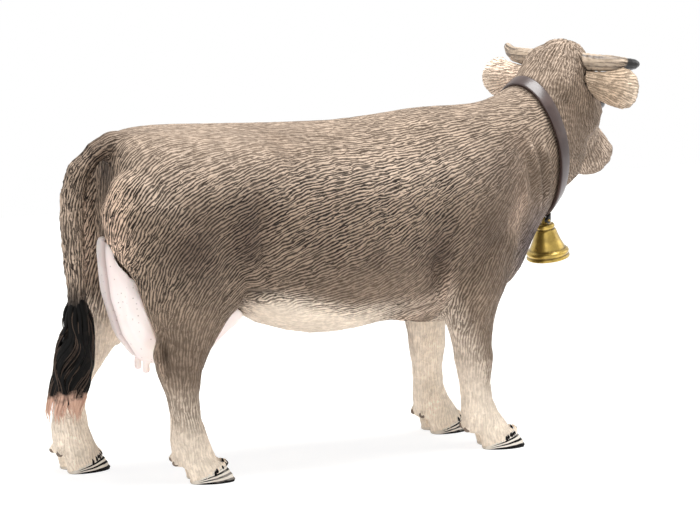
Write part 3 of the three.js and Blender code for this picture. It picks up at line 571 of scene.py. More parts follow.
# name: along, out, up; reach in each direction; paint; how strong
# the pale patches on the croup and back are partly paint and partly painted light from above, and
# the umber patches on the flank and barrel partly paint and partly painted shade on the sides
sprayed = {
    "croup": ((-45, 12, 71), (13, 12, 7), coat_pale, 0.2),
    "loin band": ((-24.5, 13, 71), (3.5, 12, 5), coat_umber, 0.4),
    "back": ((-5, 15, 65), (34, 9, 4), coat_pale, 0.3),
    "upper back": ((-33, 13, 71), (5, 10, 5), coat_pale, 0.15),
    "middle of the flank": ((-16.5, 20, 60.5), (10, 12, 6), coat_umber, 0.55),
    "thigh patch": ((-46.8, 18, 51.5), (6, 12, 7), coat_dark, 1.0),
    "thigh patch low": ((-43, 19, 44), (5, 12, 6), coat_dark, 0.35),
    "flank patch": ((-34.8, 20, 53.5), (4.2, 12, 8), coat_dark, 1.0),
    "barrel patch": ((-14, 22, 46), (14, 12, 6), coat_umber, 0.5),
    "barrel patch ahead": ((-1, 20, 48), (9, 12, 7), coat_umber, 0.4),
    # painted shade in the band behind the elbow
    "painted shade behind the elbow": ((11, 17.5, 45), (4, 9, 8), coat_dark, 0.9),
    "shoulder patch": ((29.5, 13, 62), (7, 10, 6), coat_dark, 0.7),
    "shoulder to neck": ((35, 9, 67), (5, 9, 4), coat_umber, 0.7),
    "shoulder lower": ((23, 15, 50), (7, 10, 8), coat_dark, 0.75),
    "buttock edge": ((-62, 12, 54), (3.2, 9, 15), coat_sand, 0.85),
    "hip pale": ((-52, 16, 64), (5, 9, 5), coat_pale, 0.35),
    # painted highlight on a lit fold low on the neck
    "lit fold low on the neck": ((33.5, 12, 52.5), (3.5, 9, 5.5), coat_sand, 0.6),
    "breast": ((42, 3, 43), (6, 10, 9), coat_plum, 1.0),
    "side of the breast": ((29.5, 10, 37.5), (6, 9, 6), coat_dark, 0.9),
    # painted highlight along the edge of the elbow
    "elbow highlight": ((14, 14, 35.5), (2, 9, 3), coat_pale, 0.6),
    "behind the elbow": ((9.5, 8, 33.3), (4.5, 12, 3), coat_pale, 0.8),
    "shank": ((-46, 12, 27), (9, 12, 5), coat_dark, 0.4),
    "stifle fold": ((-27, 15, 36.5), (6, 9, 2.2), coat_pale, 0.6),
    "tail root": ((-59, 0, 70), (6, 3.6, 6), coat_dark, 0.9),
    "poll": ((50, 0, 85), (6, 9, 4), coat_pale, 0.3),
}
# name: along, out, up; reach in each direction; how much calmer the coat is there
calmer = {
    "side of the neck": ((38, 10, 60), (8, 12, 12), 0.4),
    "lower barrel": ((-6, 20, 41), (16, 12, 5), 0.3),
    "croup": ((-42, 10, 72), (12, 14, 6), 0.25),
    "loin": ((-22, 12, 71), (14, 12, 5), 0.2),
    "flank": ((-16, 20, 57), (22, 12, 8), -0.28),
    "buttock": ((-58, 12, 55), (6, 9, 12), -0.25),
    "behind the elbow": ((9.5, 8, 33.3), (4.5, 12, 3), 0.3),
    "shoulder": ((26, 16, 52), (9, 10, 10), 0.25),
    "arm": ((26, 12, 34), (9, 12, 8), 0.35),
    "gaskin": ((-46, 12, 34), (10, 12, 7), 0.3),
    "near shank": ((-46, 12, 20), (14, 12, 9), 0.4),
    "fore shank": ((26, 12, 20), (12, 12, 9), 0.4),
}
# name of the fold: reach; paint; how strong. Pale paint along a fold is a painted highlight on its
# crest, dark paint a painted shade in its crease.
fold_highlights_and_shade = {
    "flank fold shade": (0.8, wash_and_shade_brown, 0.75),
    "flank crease": (1.8, coat_dark, 0.5),
    "belly fold shade": (0.8, wash_and_shade_brown, 0.6),
    "belly fold": (1.0, coat_sand, 0.6),
    "elbow crease": (1.0, wash_and_shade_brown, 0.7),
    "elbow tuft": (0.8, coat_sand, 0.6),
    "hock hollow": (0.7, wash_and_shade_brown, 0.8),
    "hock cord": (0.8, coat_sand, 0.5),
}
# painted highlights on the neck's folds and painted shade in the creases between them
neck_fold_highlights_and_shade = {
    "fold behind": (0.45, coat_pale, 0.85),
    "fold ahead": (0.45, coat_pale, 0.85),
    "crease behind": (0.6, coat_dark, 0.7),
    "crease between": (0.6, coat_dark, 0.75),
}
# from and to along the body; where tan ends and begins, above the ground; slant of the edge
pale_legs = (((-80, -30), (14 * mm, 27 * mm), 0.3), ((14, 40), (11 * mm, 23 * mm), 1.6))
belly_cream = (32 * mm, 38.5 * mm)
belly_back, belly_front = (-34, -27), (-6, 10)
belly_lift, belly_lift_along = 4 * mm, (8, 26)
leg_cream, inner_leg_cream = (5 * mm, 17 * mm), (28 * mm, 42 * mm)
top_light, top_light_up = (-0.1, 0.6), (54 * mm, 66 * mm)
strap_shade_out, strap_shade_reach = 1.7 * mm, 0.4 * mm
strap_shade_up, strap_shade_from = (44 * mm, 48 * mm), 36
hair_wander = 1.1 * mm


def strap_plane():
    """The middle plane of the strap, where the head's neck plugs into the body."""
    band = bmesh.new()
    band.from_mesh(frame["nodes"]["collar_strap"].data)
    bmesh.ops.remove_doubles(band, verts=band.verts, dist=touching)
    corners = np.array([point.co for point in band.verts])
    band.free()
    middle = corners.mean(0)
    axis = np.linalg.svd(corners - middle, full_matrices=False)[2][2]
    return Vector(middle), Vector(axis * np.sign(axis[0]))


collar_middle, collar_axis = strap_plane()


def covered(colours, share, colour):
    """Lays one more paint over the colours, as thick at each point as its share."""
    share = np.clip(share, 0, 1)[:, None]
    return colours * (1 - share) + np.array(colour[:3]) * share


def sprayed_coat(points, normals):
    """The coat's paint at each point, with painted light and shade laid over it."""
    places = sided(points)
    along, up = places[:, 0], points[:, 2]
    layers = [(0.3 * ease(normals[:, 2], *top_light) * ease(up, *top_light_up), coat_pale)]
    for place, reach, colour, strength in sprayed.values():
        layers.append((strength * near(places, place, reach), colour))
    for name, (reach, colour, strength) in fold_highlights_and_shade.items():
        layers.append((strength * along_path(places, folds[name][0], reach), colour))
    right_side = points[:, 1] < middle_out
    for name, (reach, colour, strength) in neck_fold_highlights_and_shade.items():
        crease = along_path(places, neck_folds[name][0], reach) * right_side
        layers.append((strength * crease, colour))
    trunk = ease(along, *belly_back) * (1 - ease(along, *belly_front))
    lifted = belly_lift * ease(-along, *belly_lift_along)
    layers.append((0.75 * trunk * (1 - ease(up - lifted, *belly_cream)), coat_cream))
    inward = ease(-normals[:, 1] * np.sign(points[:, 1] - middle_out), 0.1, 0.7)
    for (back, front), tan_edge, slant in pale_legs:
        here = ease(along, back, back + 3) * (1 - ease(along, front - 3, front))
        ahead = slant * (along - (back + front) / 2) * mm
        layers += [
            (here * (1 - ease(up + ahead, *tan_edge)), leg_tan),
            (0.85 * here * (1 - ease(up + 0.5 * ahead, *leg_cream)), coat_cream),
            (0.85 * here * inward * (1 - ease(up, *inner_leg_cream)), coat_cream),
        ]
    from_strap = np.abs((points - np.array(collar_middle)) @ np.array(collar_axis))
    beside_strap = np.exp(-(((from_strap - strap_shade_out) / strap_shade_reach) ** 2))
    shaded = 0.75 * beside_strap * ease(up, *strap_shade_up) * (along > strap_shade_from)
    layers.append((shaded, wash_and_shade_brown))
    colours = np.tile(np.array(coat[:3]), (len(points), 1))
    for share, colour in layers:
        colours = covered(colours, share, colour)
    return colours


def stored(mesh, **values_by_name):
    """Keeps values for each point with the mesh, for the material to read."""
    for name, values in values_by_name.items():
        kind, field = ("FLOAT_VECTOR", "vector") if values.ndim == 2 else ("FLOAT", "value")
        attribute = mesh.attributes.new(name, kind, "POINT")
        attribute.data.foreach_set(field, values.astype(np.float32).ravel())


def fresh_paint(name):
    """A new material, its node tree, and the place on the object that it reads."""
    material = bpy.data.materials.new(name)
    tree = emptied(material)
    return material, tree, put(tree, "ShaderNodeTexCoord").outputs["Object"]


def read(tree, name, output="Fac"):
    """What the mesh keeps at each point under a name."""
    return put(tree, "ShaderNodeAttribute", attribute_name=name).outputs[output]


def noise(tree, place, scale, detail=3, roughness=0.6):
    """An uneven pattern over the surface, from 0 to 1."""
    given = {"Vector": place, "Scale": scale, "Detail": detail, "Roughness": roughness}
    return put(tree, "ShaderNodeTexNoise", given)


def vectors(tree, operation, inputs):
    """A sum on vectors, with its inputs by number or by name."""
    return put(tree, "ShaderNodeVectorMath", inputs, operation=operation)


def gabor(tree, place, across, cell, spacing):
    """Wavy stripes square to a direction that changes over the surface."""
    given = {"Vector": place, "Scale": 1 / cell, "Frequency": cell / spacing, "Anisotropy": 1}
    made = put(tree, "ShaderNodeTexGabor", given, gabor_type="3D")
    give(tree, [socket for socket in made.inputs if socket.type == "VECTOR"][-1], across)
    return made


def mix_paint(tree, share, under, over):
    """One paint over another; each is a node, a socket or a colour."""
    made = put(tree, "ShaderNodeMix", data_type="RGBA")
    sockets = {socket.identifier: socket for socket in made.inputs}
    for name, value in (("Factor_Float", share), ("A_Color", under), ("B_Color", over)):
        give(tree, sockets[name], value)
    return [socket for socket in made.outputs if socket.type == "RGBA"][0]


def surfaced(tree, colour, roughness, shine, relief=None, depth=0, strength=1):
    """Ends a material: its surface and shine, with a fine relief from a height."""
    given = {"Base Color": colour, "Roughness": roughness, **shine}
    if relief:
        bumpy = {"Height": relief, "Distance": depth, "Strength": strength}
        given["Normal"] = put(tree, "ShaderNodeBump", bumpy)
    surface = put(tree, "ShaderNodeBsdfPrincipled", given)
    put(tree, "ShaderNodeOutputMaterial", {"Surface": surface})


def hide_material(name, spacing, cell, depth):
    """Hair locks of the given spacing, with wash and painted shade in the grooves, dry brush and
    highlight on crests.
    """
    material, tree, place = fresh_paint(name)
    bare = read(tree, "bare")
    soiled = maths(tree, "SUBTRACT", 1, bare)
    wobble = noise(tree, place, 330, 2, 0.5).outputs["Color"]
    shift = vectors(tree, "SUBTRACT", {0: wobble, 1: (0.5, 0.5, 0.5)})
    warped = vectors(tree, "MULTIPLY_ADD", {0: shift, 1: (hair_wander,) * 3, 2: place})
    hair = gabor(tree, warped, read(tree, "across", "Vector"), cell, spacing)
    ridge = maths(tree, "SUBTRACT", hair.outputs["Phase"], 0.5)
    ridge = maths(tree, "MULTIPLY", maths(tree, "ABSOLUTE", ridge), 2)
    strands = noise(tree, place, 900, 2)
    dimples = span(tree, strands, 0.3, 0.7)
    dimpled = maths(tree, "MULTIPLY", bare, 0.5, clamp=True)
    mixed = {"Factor": dimpled, "A": ridge, "B": dimples}
    ridge = put(tree, "ShaderNodeMix", mixed, data_type="FLOAT")
    broken = span(tree, strands, 0.35, 0.7, 0, 0.35)
    raised = maths(tree, "ADD", ridge, broken, clamp=True)
    # the dark wash in the grooves, which also serves as painted shade there
    groove = span(tree, raised, 0.17, 0.84, 1, 0, "SMOOTHSTEP")
    left_over = span(tree, noise(tree, place, 210), 0.35, 0.62, 0.6, 1)
    groove = maths(tree, "MULTIPLY", groove, left_over)
    washed = maths(tree, "MULTIPLY", groove, soiled, clamp=True)
    blotch = span(tree, noise(tree, place, 160, 4), 0.3, 0.7, 0.82, 1.14)
    mottled = vectors(tree, "SCALE", {0: read(tree, "coat", "Vector"), "Scale": blotch})
    # pale dry brushing on the crests, which also serves as a painted highlight
    brushed = span(tree, raised, 0.55, 1, -0.1, 0.76, "SMOOTHSTEP")
    brushed = maths(tree, "MULTIPLY_ADD", brushed, soiled, 1)
    dry_brush_and_highlight = vectors(tree, "SCALE", {0: mottled, "Scale": brushed})
    left_paint = mix_paint(tree, bare, wash_and_shade_brown, groove_tan)
    shade = mix_paint(tree, washed, dry_brush_and_highlight, left_paint)
    gloss = span(tree, raised, 0, 1, 0.85, 0.55)
    surfaced(tree, shade, gloss, {"Specular IOR Level": 0.25}, raised, depth)
    return material


# Body: the trunk with the shoulders, the thighs and the root of the tail is one solid moulding,
# cut where the lower legs, the neck and the tail are plugged and glued in.
leg_cut = 27 * mm
leg_cut_reach = 14 * mm
neck_cut_reach = 40 * mm
tail_cut_reach = 6 * mm
tail_joint = Vector((-61.5, -1.142, 70.6)) * mm
tail_way = Vector((-0.8, 0, -0.6))
calmest, roughest = 0.84, -0.3
# where the groove wash thins on pale paint; and on surfaces facing up high on the body, where the
# thinner wash is painted light from above
wiped_paint, top_lit_grooves = (0.34, 0.7), (0.3, 0.9)
top_lit_grooves_up = (55 * mm, 68 * mm)
hide = hide_material("painted_coat", spacing=0.66 * mm, cell=3.2 * mm, depth=0.26 * mm)


def middle_of(node):
    return sum(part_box(node), Vector()) / 2


def parted(mesh, joints):
    """Cuts a skin open where each flat joint crosses it near its place."""
    with edited(mesh) as shape:
        for place, towards, reach in joints:
            cut = bmesh.ops.bisect_plane(
                shape, geom=shape.verts[:] + shape.edges[:] + shape.faces[:], plane_co=place,
                plane_no=towards, dist=touching,
            )
            rim = [
                edge for edge in cut["geom_cut"]
                if isinstance(edge, bmesh.types.BMEdge)
                and all((point.co - place).length < reach for point in edge.verts)
            ]
            bmesh.ops.split_edges(shape, edges=rim)


def coated(mesh):
    """Stores what the coat's material reads at each point."""
    points, normals = points_of(mesh), normals_of(mesh)
    colours = sprayed_coat(points, normals)
    thin_wash_and_top_light = 0.88 * ease(colours.mean(1), *wiped_paint)
    # grooves on surfaces facing up get less wash: painted light from above
    thin_wash_and_top_light = thin_wash_and_top_light + 0.2 * ease(normals[:, 2], *top_lit_grooves) * ease(points[:, 2], *top_lit_grooves_up)
    for place, reach, strength in calmer.values():
        thin_wash_and_top_light += strength * near(sided(points), place, reach)
    bare = np.clip(thin_wash_and_top_light, roughest, calmest)
    stored(mesh, coat=colours, across=across_hair(combed(points), normals), bare=bare)


def capped(mesh):
    """Closes the open cuts with flat faces that keep a crisp edge."""
    with edited(mesh) as shape:
        rims = [edge for edge in shape.edges if edge.is_boundary]
        filled = bmesh.ops.holes_fill(shape, edges=rims, sides=0)
        for face in shape.faces:
            face.smooth = True
        for face in filled["faces"]:
            face.smooth = False
            for edge in face.edges:
                edge.smooth = False
        bmesh.ops.triangulate(shape, faces=filled["faces"])


def finished(mesh, materials, body, slot, *nodes):
    """Makes a mesh a piece of the object: its materials, body and the solids it shows. The slot is
    not used.
    """
    piece = placed(mesh.name, mesh)
    for material in materials:
        mesh.materials.append(material)
    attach(piece, body)
    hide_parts(*nodes)


joints = [
    (Vector((middle_of(node).x, middle_of(node).y, leg_cut)), Vector((0, 0, 1)), leg_cut_reach)
    for node in leg_nodes
]
joints += [
    (collar_middle, collar_axis, neck_cut_reach), (tail_joint, tail_way, tail_cut_reach),
]
parted(body, joints)
label = islands_of(body)
body_points = points_of(body)
middles = {number: body_points[label == number].mean(0) for number in np.unique(label)}


def skin_part(node, name):
    """The part of the animal's skin that lies where a solid is."""
    middle = np.array(middle_of(node))
    nearest = min(middles, key=lambda number: np.linalg.norm(middles[number] - middle))
    return part_of(body, label == nearest, name)


trunk_mesh = skin_part("torso", "body_hide")
coated(trunk_mesh)
capped(trunk_mesh)
finished(trunk_mesh, [hide], "figure", "hide", "torso")


# Legs: each lower leg is a moulding of its own, plugged up into the body. Cream paint over hair
# that runs straight down to the hoof. The two right feet are set with their toes turned out.
coronet_heel = 0.4 * mm
coronet_toe = 4.6 * mm
heel_slope = 0.6 * mm
heel_length, heel_height = 4 * mm, 4.5 * mm
sole_height = 0.05 * mm
ankle = (3.5 * mm, 11 * mm)
toes_turned = {"right_foreleg": radians(-14), "right_hind_leg": radians(-14)}
hoof_size = {}


def mesh_of(name, points, faces):
    """A closed smooth mesh with its normals outwards."""
    made = bpy.data.meshes.new(name)
    made.from_pydata([tuple(point) for point in points], [], faces)
    made.shade_smooth()
    with edited(made) as shape:
        bmesh.ops.recalc_face_normals(shape, faces=shape.faces[:])
    return made


def lofted(rings, name):
    """A closed skin over rings of points, with a fan on the middle of each end ring."""
    rings = np.asarray(rings)
    count, sides = rings.shape[:2]
    points = np.concatenate((rings.reshape(-1, 3), rings[:1].mean(1), rings[-1:].mean(1)))
    first, last = count * sides, count * sides + 1
    faces = []
    for side in range(sides):
        after = (side + 1) % sides
        for ring in range(0, (count - 1) * sides, sides):
            faces.append((ring + side, ring + after, ring + sides + after, ring + sides + side))
        faces.append((first, after, side))
        faces.append((last, first - sides + side, first - sides + after))
    return mesh_of(name, points, faces)


def turn_toes(mesh, node):
    """Turns a foot about the upright line through its middle, less and less up the leg."""
    low, high, _ = hoof_size[node]
    points = points_of(mesh)
    turn = toes_turned.get(node, 0) * (1 - ease(points[:, 2], *ankle))
    x, y = (points[:, :2] - (low[:2] + high[:2]) / 2).T
    points[:, 0] += x * (np.cos(turn) - 1) - y * np.sin(turn)
    points[:, 1] += x * np.sin(turn) + y * (np.cos(turn) - 1)
    set_points(mesh, points)


for node in leg_nodes:
    solid = points_of(frame["nodes"][node].data)
    sole = solid[solid[:, 2] < sole_height]
    low, high = sole.min(0) + np.array((0.8 * heel_slope, 0, 0)), sole.max(0)
    hoof_size[node] = (low, high, solid)
    slope = (coronet_toe - coronet_heel) / (high[0] - low[0])
    leg_mesh = skin_part(node, node + "_hide")
    points = points_of(leg_mesh)
    heel = 1 - ease(points[:, 0], low[0], low[0] + heel_length)
    points[:, 0] += heel_slope * heel * (1 - ease(points[:, 2], 0, heel_height))
    set_points(leg_mesh, points)
    with edited(leg_mesh) as shape:
        bmesh.ops.bisect_plane(
            shape, geom=shape.verts[:] + shape.edges[:] + shape.faces[:],
            plane_co=(low[0], 0, coronet_heel), plane_no=Vector((-slope, 0, 1)).normalized(),
            clear_inner=True, dist=touching,
        )
    coated(leg_mesh)
    capped(leg_mesh)
    turn_toes(leg_mesh, node)
    finished(leg_mesh, [hide], "figure", "hide", node)


# Hooves: cloven, moulded with the legs. Two claws on each, cream with growth rings that run
# together at the heel, black paint in the rings, and two small dewclaws behind.
claw_height = 5 * mm
claw_half_width = 2.15 * mm
claw_spread = 2.275 * mm
claw_sides = 72
claw_rows = 30
ring_count = 3.6
ring_depth = 0.07 * mm
dewclaw_height = 4.5 * mm
dewclaw_spread = 2.05 * mm
dewclaw_radii = (0.935 * mm, 0.68 * mm, 0.765 * mm)
dewclaw_inset = 0.95 * mm
fetlock_heights = (3.9 * mm, 5.7 * mm)
claw_top = 1.12
# how high up the wall a dewclaw counts as, which tells its paint from the claws'
dewclaw_wall = 2.2
rings_end = 0.93
clear_rings = (0.7 * mm, 1.6 * mm)
# how square the claw is in front and behind, where a circle is 2
front_square, back_square = 1.55, 2.6
# share of the height; forward shift, length and width as shares of the claw's own
claw_shares = np.array([
    (0, 0, 0.96, 0.94), (0.12, 0, 1, 1), (0.5, -0.07, 0.9, 0.98), (0.8, -0.13, 0.76, 0.88),
    (1, -0.18, 0.55, 0.66),
])


def joined(meshes, name):
    """Several meshes as one."""
    shape = bmesh.new()
    for mesh in meshes:
        shape.from_mesh(mesh)
    made = bpy.data.meshes.new(name)
    shape.to_mesh(made)
    shape.free()
    made.shade_smooth()
    return made


def claw_mesh(low, high, side, seed):
    """One claw; how high up its wall each point is and how clear the rings are there."""
    length = (high[0] - low[0]) / claw_shares[0, 2]
    toe_x = (low[0] + high[0]) / 2
    middle = (low[1] + high[1]) / 2 + side * claw_spread
    angle = np.linspace(0, 2 * pi, claw_sides, endpoint=False)
    c, s = np.cos(angle), np.sin(angle)
    power = np.where(s >= 0, 2 / front_square, 2 / back_square)
    across = np.sign(c) * np.abs(c) ** power
    forward = np.sign(s) * np.abs(s) ** power
    rings, walls = [], []
    start = np.random.default_rng(seed).uniform(0, 2 * pi, 3)[0]
    for share in np.linspace(0, claw_top, claw_rows):
        height = np.full(claw_sides, share * 0.6)
        for _ in range(4):
            row = [np.interp(height, claw_shares[:, 0], claw_shares[:, i]) for i in (1, 2, 3)]
            x = toe_x + row[0] * length + forward * row[1] * length / 2
            rim = np.interp(x, (low[0], high[0]), (coronet_heel, coronet_toe))
            height = share * rim / claw_height
        wave = np.sin(2 * pi * ring_count * share + 0.5 * np.sin(2 * angle + start))
        grown = 1 + ring_depth / claw_half_width * wave * min(1, 6 * share)
        x = toe_x + row[0] * length + forward * row[1] * length / 2 * (1 + (grown - 1) * 0.5)
        y = middle + across * row[2] * claw_half_width * grown
        rings.append(np.column_stack((x, y, height * claw_height)))
        shown = ease(rim, *clear_rings) * (share < rings_end)
        walls.append(np.column_stack((np.full(claw_sides, share), shown)))
    return lofted(rings, "claw"), np.concatenate(walls + [[(0, 0), (claw_top, 0)]])


def ball(centre, radii, name, rows=24, sides=32):
    """A closed oval."""
    angle = np.linspace(0, 2 * pi, sides, endpoint=False)
    rings = []
    for rise in np.linspace(-0.5, 0.5, rows + 1)[1:-1] * pi:
        level = (cos(rise) * np.cos(angle), cos(rise) * np.sin(angle), np.full(sides, sin(rise)))
        rings.append(np.array(centre) + np.column_stack(level) * np.array(radii))
    return lofted(rings, name)


def horn_wall_material():
    """Cream claws with black paint left in the growth rings, dark soles, grey dewclaws."""
    material, tree, place = fresh_paint("painted_hoof")
    uneven = noise(tree, place, 420)
    shifted = maths(tree, "MULTIPLY_ADD", uneven, 0.1, read(tree, "wall"))
    turns = maths(tree, "MULTIPLY", shifted, ring_count)
    off = maths(tree, "SUBTRACT", maths(tree, "FRACT", turns), 0.75)
    line = span(tree, maths(tree, "ABSOLUTE", off), 0.18, 0.24, 1, 0)
    kept = span(tree, noise(tree, place, 260, 2, 0.5), 0.36, 0.46, 0.7, 1)
    kept = maths(tree, "MULTIPLY", kept, read(tree, "ringed"))
    line = maths(tree, "MULTIPLY", line, kept)
    low = span(tree, shifted, 0.16, 0.19, 1, 0)
    grey = span(tree, shifted, 1.9, 2.1)
    wall = mix_paint(tree, uneven, paint(252, 246, 236), paint(214, 202, 186))
    wall = mix_paint(tree, line, wall, paint(9, 7, 6))
    wall = mix_paint(tree, low, wall, paint(10, 8, 8))
    wall = mix_paint(tree, grey, wall, paint(128, 114, 102))
    surfaced(tree, wall, 0.5, {"Specular IOR Level": 0.12}, uneven, 0.06 * mm)
    return material


hoof_paint = horn_wall_material()
for number, (node, (low, high, solid)) in enumerate(hoof_size.items()):
    claws, walls = zip(*(claw_mesh(low, high, side, number * 4 + side + 1) for side in (-1, 1)))
    fetlock = solid[(solid[:, 2] > fetlock_heights[0]) & (solid[:, 2] < fetlock_heights[1])]
    back = fetlock[:, 0].min() + dewclaw_inset
    middle = (low[1] + high[1]) / 2
    dewclaws = [
        ball((back, middle + side * dewclaw_spread, dewclaw_height), dewclaw_radii, "dewclaw")
        for side in (-1, 1)
    ]
    plain = [np.tile((dewclaw_wall, 0), (len(one.vertices), 1)) for one in dewclaws]
    walls = np.concatenate(list(walls) + plain)
    hoof_mesh = joined(list(claws) + dewclaws, node + "_hoof")
    stored(hoof_mesh, wall=walls[:, 0], ringed=walls[:, 1])
    turn_toes(hoof_mesh, node)
    finished(hoof_mesh, [hoof_paint], "figure", "hide", node)


# Coronet tufts: short pointed locks round the top of each hoof, moulded with the leg. The cream
# ones hang over the hoof, and in front black ones point up from it.
tuft_thickness = 0.23 * mm
dagger_thickness = 0.32 * mm
tuft_length = 1.15 * mm
tuft_lift = 0.6 * mm
tuft_ring = 3.75 * mm
tuft_back, tuft_share = 0.8 * mm, 0.76
tuft_angles = np.arange(-150, 151, 7.5)
tuft_low = 0.3 * mm
dagger_angle = 80
strand_sides = 8
tip_share = 0.8


def strand_tree():
    """Geometry Nodes: round strands along curves, thick in the middle and pointed at the end."""
    tree = bpy.data.node_groups.new("strands", "GeometryNodeTree")
    for name, kind in (
        ("Curves", "Geometry"), ("Thickness", "Float"), ("Flatness", "Float"), ("Sides", "Int"),
        ("Material", "Material"),
    ):
        tree.interface.new_socket(name, in_out="INPUT", socket_type="NodeSocket" + kind)
    tree.interface.new_socket("Mesh", in_out="OUTPUT", socket_type="NodeSocketGeometry")
    given = put(tree, "NodeGroupInput").outputs
    share = put(tree, "GeometryNodeSplineParameter").outputs["Factor"]
    kept = put(
        tree, "GeometryNodeStoreNamedAttribute",
        {"Geometry": given["Curves"], "Name": "strand", "Value": share},
        data_type="FLOAT", domain="POINT",
    )
    taper = maths(tree, "SUBTRACT", 1, maths(tree, "POWER", share, 2.4))
    taper = maths(tree, "MULTIPLY", taper, span(tree, share, 0, 0.2, 0.5, 1))
    radius = maths(tree, "MAXIMUM", taper, 0.06)
    shaped = put(tree, "GeometryNodeSetCurveRadius", {"Curve": kept, "Radius": radius})
    round_section = {"Resolution": given["Sides"], "Radius": given["Thickness"]}
    profile = put(tree, "GeometryNodeCurvePrimitiveCircle", round_section)
    flat = put(tree, "ShaderNodeCombineXYZ", {"X": 1, "Y": given["Flatness"], "Z": 1})
    oval = put(tree, "GeometryNodeTransform", {"Geometry": profile, "Scale": flat})
    swept = {"Curve": shaped, "Profile Curve": oval, "Fill Caps": True}
    skinned = put(tree, "GeometryNodeCurveToMesh", swept)
    if "Scale" in skinned.inputs:
        give(tree, skinned.inputs["Scale"], radius)
    real = put(tree, "GeometryNodeRealizeInstances", {"Geometry": skinned})
    painted = {"Geometry": real, "Material": given["Material"]}
    put(tree, "NodeGroupOutput", {"Mesh": put(tree, "GeometryNodeSetMaterial", painted)})
    return tree


strands = strand_tree()


def strand_mesh(name, paths, thickness, material, flatness=1.0):
    """The strand tree's mesh along paths of points."""
    data = bpy.data.curves.new(name, "CURVE")
    data.dimensions = "3D"
    for path in paths:
        spline = data.splines.new("POLY")
        spline.points.add(len(path) - 1)
        spline.points.foreach_set("co", np.column_stack((path, np.ones(len(path)))).ravel())
    guide = placed(name, data)
    modifier = guide.modifiers.new("strands", "NODES")
    modifier.node_group = strands
    values = {
        "Thickness": thickness, "Flatness": flatness, "Sides": strand_sides, "Material": material,
    }
    for item in strands.interface.items_tree:
        if item.in_out == "INPUT" and item.name in values:
            modifier[item.identifier] = values[item.name]
    guide.update_tag()
    made = bpy.data.meshes.new_from_object(
        guide.evaluated_get(bpy.context.evaluated_depsgraph_get())
    )
    bpy.data.objects.remove(guide)
    bpy.data.curves.remove(data)
    made.name = name
    made.shade_smooth()
    return made


def hair_material(name, root, tip, edge, gloss=0.5, tips=None):
    """Locks with another paint on their tips, past a share of their length or below a height."""
    material, tree, place = fresh_paint(name)
    share = read(tree, "strand")
    if tips:
        height = put(tree, "ShaderNodeSeparateXYZ", {"Vector": place}).outputs["Z"]
        share = span(tree, height, *tips, tip_share - 0.1, tip_share + 0.1)
    spots = noise(tree, place, 500)
    ragged = maths(tree, "MULTIPLY_ADD", spots, 0.24, share)
    tipped = span(tree, ragged, tip_share + 0.08, tip_share + 0.16)
    brushed = span(tree, spots, 0.56, 0.66, 0, 0.55)
    shade = mix_paint(tree, tipped, mix_paint(tree, brushed, root, edge), tip)
    surfaced(tree, shade, gloss, {"Specular IOR Level": 0.1}, spots, 0.05 * mm)
    return material


tuft_cream = hair_material("cream_tufts", coat_cream, coat_cream, coat_pale)
tuft_black = hair_material("black_tufts", paint(16, 13, 12), paint(34, 28, 26), paint(40, 34, 30))
for number, (node, (low, high, _)) in enumerate(hoof_size.items()):
    random = np.random.default_rng(40 + number)
    cream_paths, black_paths = [], []
    toe_x, middle = (low[0] + high[0]) / 2, (low[1] + high[1]) / 2
    half_length = (high[0] - low[0]) / 2
    for angle in tuft_angles:
        turn = radians(angle + random.uniform(-3, 3))
        x = toe_x - tuft_back + cos(turn) * half_length * tuft_share
        y = middle + sin(turn) * tuft_ring
        z = float(np.interp(x, (low[0], high[0]), (coronet_heel, coronet_toe))) + tuft_lift
        out = Vector((cos(turn) * 0.7, sin(turn), 0)).normalized()
        long = tuft_length * random.uniform(0.7, 1.25)
        t = np.linspace(0, 1, 7)[:, None]
        path = np.array((x, y, z)) + np.array(out) * mm * (0.15 + 0.55 * np.sin(t * pi * 0.6))
        path = path + np.array((0, random.uniform(-0.2, 0.2) * mm, 0)) * t
        path[:, 2] = np.maximum(path[:, 2] - (t * long)[:, 0], tuft_low)
        if abs(angle) < dagger_angle and random.uniform() < 0.5:
            black_paths.append(path[::-1])
        else:
            cream_paths.append(path)
    for kind, paths, material, thickness in (
        ("cream", cream_paths, tuft_cream, tuft_thickness),
        ("black", black_paths, tuft_black, dagger_thickness),
    ):
        mesh = strand_mesh(f"{node}_{kind}_tufts", paths, thickness, material)
        turn_toes(mesh, node)
        finished(mesh, [], "figure", "hide", node)


# Head: a solid moulding plugged into the neck under the strap, turned to the animal's left. Eyes
# with lids, nostrils, mouth and jaw are modelled in its own frame, from the poll to the muzzle.
head_root = Vector((48.23, 0.908, 79.65)) * mm
head_roll, head_pitch, head_yaw = radians(2), radians(39.5), radians(38)
head_turn = Euler((head_roll, head_pitch, head_yaw)).to_matrix()
head_frame = Matrix.Translation(head_root) @ head_turn.to_4x4()
curl_spacing = 1.15 * mm
curl_length = 1.7 * mm
curl_height = 0.5 * mm
curl_place, curl_reach = (1, 0, 8), (7, 9, 6)
curl_shade = 0.6
face_from, muzzle_from = (4 * mm, 13 * mm), (29 * mm, 33 * mm)
eye_place = (13.2, 8.3, 2.7)
eye_radii = (1.75 * mm, 1.5 * mm, 1.35 * mm)
eye_sunk = 1.05
nostril_place = (33, 3.9, 0.8)
